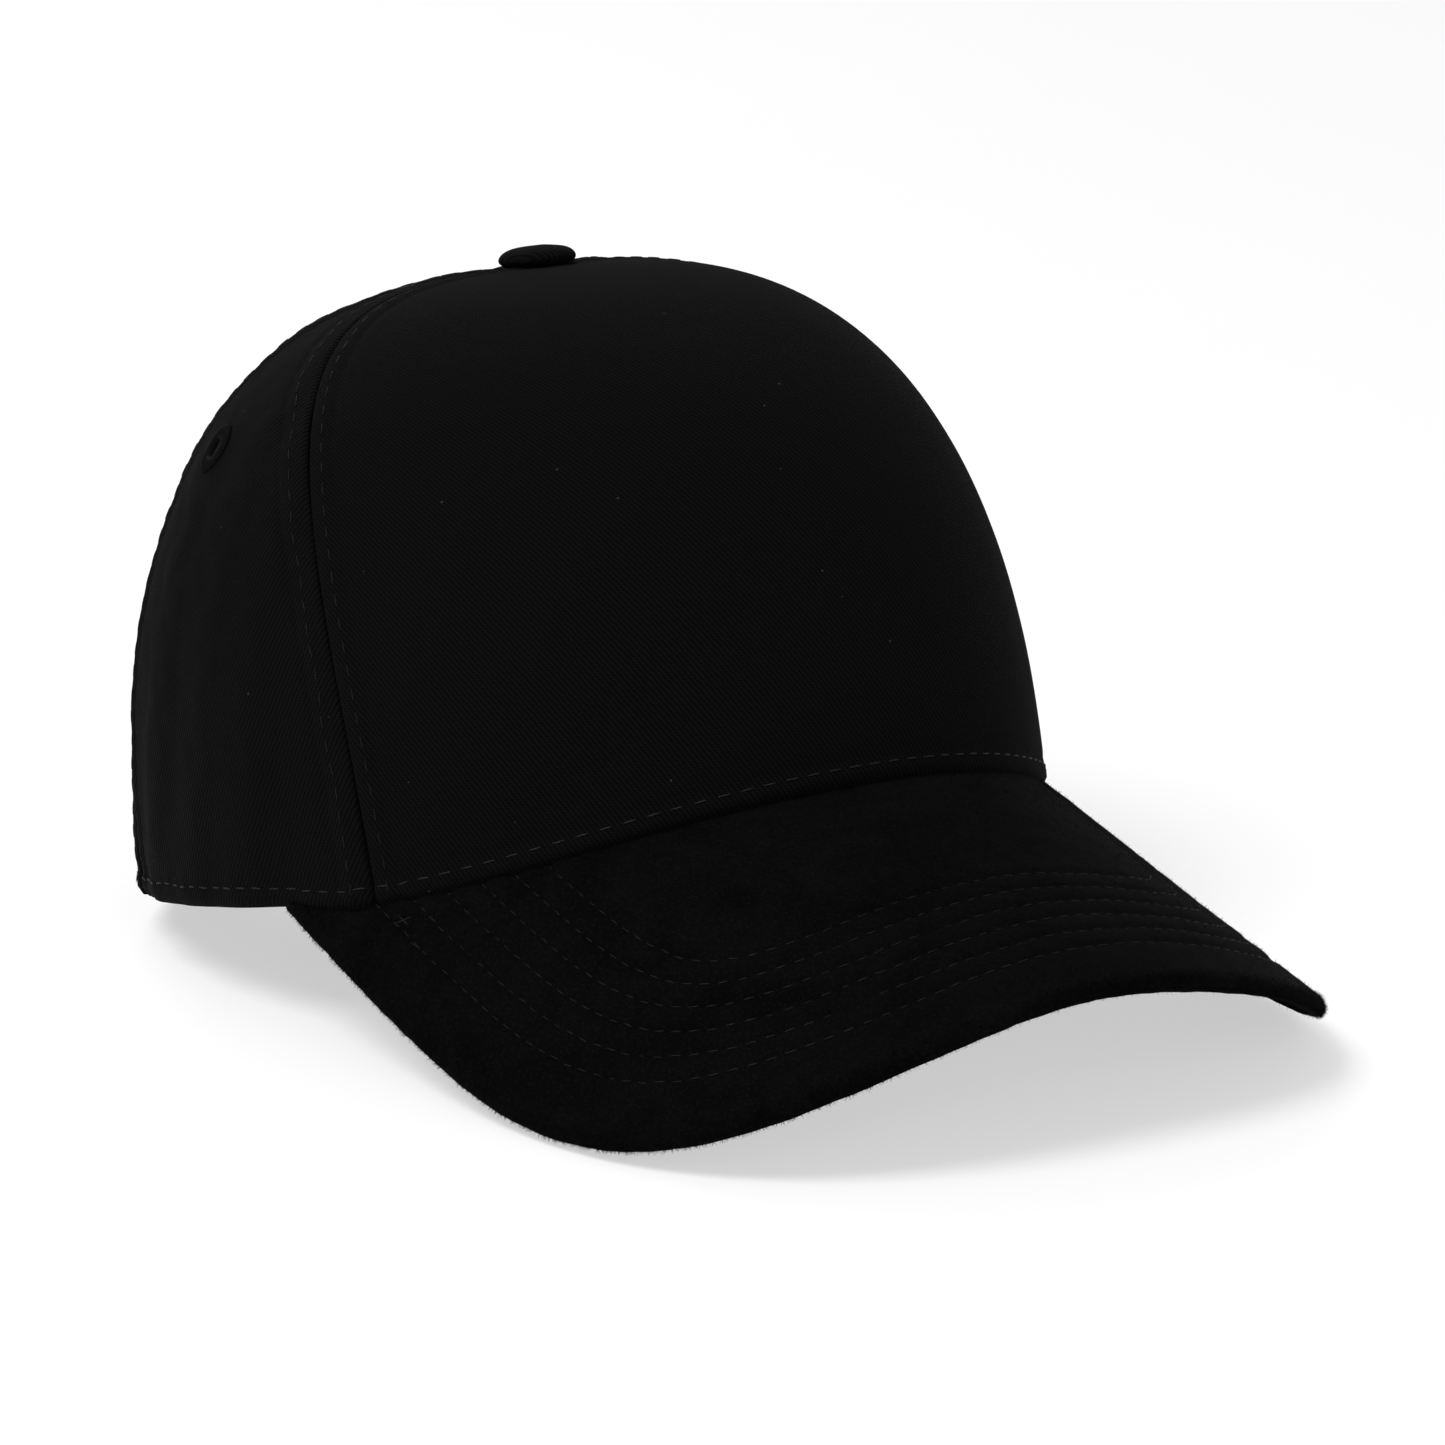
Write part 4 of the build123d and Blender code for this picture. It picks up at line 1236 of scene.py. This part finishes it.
# The tab: a loop of thinner drill round the buckle's bar, then flat on the cloth to the left.
tab_width = strap_width - 1.0 * mm
tab_thick = 0.7 * mm
tab_run_depth = 2.5 * mm            # to the middle of its length
buckle_offset = 22.0 * mm
bar_from_buckle = 14.0 * mm
bar_height = 1.866 * mm
tab_bend = 1.45 * mm                # the loop's radius, to the middle of the cloth
tab_ramp = 5.0 * mm
buckle_turn = pi - asin(buckle_offset / crown_half_width)
seat = crown_point(buckle_turn, strap_middle, strap_run_depth)
seat_along = (seat - crown_point(buckle_turn + 0.001, strap_middle, strap_run_depth)).normalized()
seat_rise = (
    crown_point(buckle_turn, strap_middle + 0.1 * mm, strap_run_depth) - seat).normalized()
seat_out = seat_along.cross(seat_rise).normalized()
if seat_out.y < 0:
    seat_out = -seat_out
seat_rise = (seat_rise - seat_out * seat_rise.dot(seat_out)).normalized()


def on_buckle(along, up, out):
    """A point in the buckle's own plane, along the strap to the wearer's left."""
    return seat + seat_along * along + seat_rise * up + seat_out * out


tab_points = []
for k in range(19):
    round_bar = radians(-100 + 350 * k / 18)
    tab_points.append(lambda up, a=round_bar: on_buckle(
        bar_from_buckle + tab_bend * cos(a), up, bar_height + tab_bend * sin(a)))
tab_ends_at = on_buckle(bar_from_buckle + tab_ramp, 0, 0).x
for k in range(41):
    x = tab_ends_at + (strap_far - tab_ends_at) * k / 40
    tab_points.append(lambda up, x=x: behind(x, strap_middle + up, tab_run_depth))
tab_cloth, _ = strip(tab_points, tab_width, 12, "tab_cloth", ["strap_tab"], drill_finish,
                     "cotton_twill", tab_thick)

# Brass wire and sheet, tumbled and darkened: warm yellow metal, browner in its hollows.
brass_finish, tree = new_finish("antique_brass")
tumble = grain(tree, "Noise", 3.0 * mm, Detail=5.0, Roughness=0.6)
worn = ramp(tree, tumble, (0.3, "#80633a"), (0.7, "#a58450"))
dulled = add(tree, "MapRange", {0: tumble, 3: 0.42, 4: 0.26})
coat(tree, worn, grain(tree, "Noise", 0.4 * mm), 0.25, 0.06 * mm, Metallic=1.0,
     Roughness=dulled.outputs[0])


def dress(node, finish):
    """Gives a CAD node whose shape is right its finish."""
    mesh = frame["nodes"][node].data
    mesh.materials.clear()
    mesh.materials.append(finish)


for node in ("buckle_frame", "buckle_pin", "buckle_flap"):
    dress(node, brass_finish)

# ---------- Button shell and peak board ----------
# The button is a steel shell riveted through the crown under its cloth; the peak is
# stiffened by a board of polyethylene between its two suede covers.

# Cold-drawn steel, zinc plated: bluish grey, faintly mottled.
steel_finish, tree = new_finish("zinc_plated_steel")
spangle = grain(tree, "Noise", 2.0 * mm, Detail=4.0)
dulled = add(tree, "MapRange", {0: spangle, 3: 0.30, 4: 0.48})
coat(tree, mix(tree, spangle, "#82868b", "#b4b8bc"), spangle, 0.2, 0.05 * mm, Metallic=1.0,
     Roughness=dulled.outputs[0])
for node in ("button_cap", "button_shank", "button_back"):
    dress(node, steel_finish)

# High-density polyethylene sheet: waxy, milky white, with shallow roller marks.
board_finish, tree = new_finish("polyethylene_sheet")
rolled = stripes(tree, 2.4 * mm, Distortion=1.5, Detail=2.0)
coat(tree, mix(tree, rolled, "#c2c3bf", "#cfd0cc"), rolled, 0.2, 0.05 * mm, Roughness=0.5, IOR=1.54)
dress("peak_board", board_finish)

# ---------- Protective shell ----------
# A bump shell injection moulded in ABS, with round vents and a rubber trim pushed over its
# lower edge; it lifts out of the cap.

# ABS moulded against a spark-eroded tool: satin black with a fine even grain.
abs_finish, tree = new_finish("moulded_abs")
sparked = grain(tree, "Noise", 0.7 * mm, Detail=3.0, Roughness=0.6)
flow = grain(tree, "Noise", 45 * mm, Detail=2.0)
rough = add(tree, "MapRange", {0: sparked, 3: 0.38, 4: 0.58})
coat(tree, mix(tree, flow, "#131416", "#1c1d20"), sparked, 0.3, 0.08 * mm,
     Roughness=rough.outputs[0], IOR=1.54)
dress("insert_shell", abs_finish)

# Extruded EPDM rubber: matt charcoal with fine lines along its run.
rubber_finish, tree = new_finish("extruded_rubber")
drawn = stripes(tree, 0.8 * mm, way="Z", Distortion=1.0)
coat(tree, mix(tree, drawn, "#1b1b1c", "#28282a"), drawn, 0.35, 0.08 * mm, Roughness=0.75, IOR=1.5)
dress("insert_edge_trim", rubber_finish)

# ---------- Foam pads ----------
# Five pads of closed-cell foam, moulded with soft rounded edges and glued inside the shell
# at the front, sides, back and crown.

# Closed-cell EVA foam: mid grey, matt, with a skin of tiny shut cells.
eva_finish, tree = new_finish("eva_foam")
soiled = grain(tree, "Noise", 20 * mm, Detail=3.0)
coat(tree, mix(tree, soiled, "#4a4b4e", "#5e5f62"), grain(tree, "Voronoi", 0.8 * mm), 0.4,
     0.12 * mm, Roughness=0.85, Specular_IOR_Level=0.3)

pad_face = 8.40 * mm
pad_thick = 4.0 * mm
pad_edge = 2.2 * mm                 # the foam is this thick at its rounded edge
pad_soft = 7.0 * mm                 # and reaches its full thickness this far in
pad_corner = 0.10                   # how much its corners are rounded off


def wedge_place(turn_from, turn_to, low, high):
    """A pad between two angles and two heights, with its corners rounded off."""
    def place(across_share, up_share):
        x, y = 2 * across_share - 1, 2 * up_share - 1
        cut = 1 - pad_corner * (x * y) ** 6
        turn = radians((turn_from + turn_to) / 2 + (turn_to - turn_from) / 2 * x * cut)
        return turn, ((low + high) / 2 + (high - low) / 2 * y * cut) * mm
    return place


def disc_share(across_share, up_share):
    """A square grid's point moved onto a disc of radius 1."""
    x, y = 2 * across_share - 1, 2 * up_share - 1
    return x * sqrt(1 - y ** 2 / 2), y * sqrt(1 - x ** 2 / 2)


crown_pad_edge = 99.0 * mm          # the height of its edge
crown_pad_low = asin((crown_pad_edge / (crown_height - pad_face)) ** (1 / height_power))


def crown_pad_place(across_share, up_share):
    """Places on the round pad at the top of the shell."""
    x, y = disc_share(across_share, up_share)
    climbed = pi / 2 - (pi / 2 - crown_pad_low) * min(hypot(x, y), 1.0)
    return atan2(x, -y), (crown_height - pad_face) * min(sin(climbed), 0.9999999) ** height_power


def pad_mesh(place, columns, rows, face_depth, full, edge, soft):
    """A pad laid on a surface inside the crown, bulging inwards from a thin rounded edge."""
    bm, cells, woven = lay_cloth(place, columns, rows, face_depth, crowd=0.3)
    trees = [tree_of(edge_run(cells, side)[0]) for side in ("left", "right", "foot", "top")]
    middle = sum((v.co for v in bm.verts), Vector()) / len(bm.verts)
    hub = Vector((0, 0, crown_height * 0.3))
    away = {v: min(tree.find(v.co)[2] for tree in trees) for v in bm.verts}
    inward = {v: v.normal * (1 if v.normal.dot(hub - middle) > 0 else -1) for v in bm.verts}
    old = {tuple(v.co): (away[v], inward[v].copy()) for v in bm.verts}
    grown = bmesh.ops.extrude_face_region(bm, geom=bm.faces[:])
    for v in grown["geom"]:
        if isinstance(v, bmesh.types.BMVert):
            gap, way = old[tuple(v.co)]
            swell = sqrt(1 - (1 - min(gap / soft, 1.0)) ** 2)
            v.co += way * (edge + (full - edge) * swell)
    bmesh.ops.recalc_face_normals(bm, faces=bm.faces)
    bm.normal_update()
    return bm


pads = (
    ("front_pad", wedge_place(-36, 36, 52, 92), 60, 36, ["insert_front_pad"]),
    ("side_pad_left", wedge_place(62, 116, 50, 86), 48, 34, ["insert_side_pad_left"]),
    ("side_pad_right", wedge_place(-116, -62, 50, 86), 48, 34, ["insert_side_pad_right"]),
    ("rear_pad", wedge_place(152, 208, 68, 94), 48, 26, ["insert_rear_pad"]),
    ("crown_pad", crown_pad_place, 60, 60, ["insert_crown_pad"]))
for name, place, columns, rows, nodes in pads:
    pad = piece(name, pad_mesh(place, columns, rows, pad_face, pad_thick, pad_edge, pad_soft),
                eva_finish, "insert", nodes)
    round_edges(pad, 0.7 * mm)

# ---------- Hook-and-loop dots ----------
# Four round patches of nylon loop pile sewn inside the crown hold four of moulded hooks
# glued to the shell, so that the shell can be pulled out for washing.

dot_radius = 9.9 * mm
dot_height = 84.0 * mm
dot_places = ((48.0, inner_face), (132.8, lining_face))     # angle, what the loops are sewn to


def dot_place(turn, height, depth):
    """A round patch about a point of a surface inside the crown."""
    middle = crown_point(turn, height, depth)
    round_it = (crown_point(turn + 0.001, height, depth) - middle) / 0.001
    up_it = (crown_point(turn, height + 0.01 * mm, depth) - middle) / (0.01 * mm)
    rise = up_it - round_it.normalized() * up_it.dot(round_it.normalized())

    def place(across_share, up_share):
        x, y = disc_share(across_share, up_share)
        climbed = y * dot_radius / rise.length
        turned = (x * dot_radius - climbed * up_it.dot(round_it.normalized())) / round_it.length
        return turn + turned, height + climbed
    return place


# Napped nylon loops: soft dark pile that scatters light, with no threads to be seen.
loop_finish, tree = new_finish("nylon_loop_pile")
pile = grain(tree, "Noise", 0.5 * mm, Detail=5.0, Roughness=0.75)
coat(tree, mix(tree, pile, "#070708", "#232326"), pile, 1.0, 0.4 * mm, Roughness=0.95,
     Specular_IOR_Level=0.15, Sheen_Weight=0.1, Sheen_Roughness=0.4)

# Moulded nylon hooks: a bed of tiny stiff points, drawn coarse enough to be seen.
hook_finish, tree = new_finish("nylon_hooks")
points = grain(tree, "Voronoi", 0.9 * mm)
coat(tree, mix(tree, points, "#2a2a2d", "#0b0b0c"), points, 1.0, 0.35 * mm, Roughness=0.55,
     IOR=1.53).invert = True

hook_depth = 4.37 * mm
hook_thick = 1.9 * mm
patches = {"loop": bmesh.new(), "hook": bmesh.new()}
for turn, loop_depth in dot_places:
    for sign in (-1, 1):
        for kind, depth, thick in (("loop", loop_depth + 0.02 * mm, 4.03 * mm - loop_depth),
                                   ("hook", hook_depth, hook_thick)):
            place = dot_place(sign * radians(turn), dot_height, depth)
            patch = pad_mesh(place, 18, 18, depth, thick - 0.05 * mm, thick * 0.6, 1.6 * mm)
            part = bpy.data.meshes.new("patch")
            patch.to_mesh(part)
            patch.free()
            patches[kind].from_mesh(part)
            bpy.data.meshes.remove(part)
for kind, body, finish in (("loop", "cap", loop_finish), ("hook", "insert", hook_finish)):
    made = piece(kind + "_patches", patches[kind], finish, body, [kind + "_dots"])
    round_edges(made, 0.3 * mm, 2)
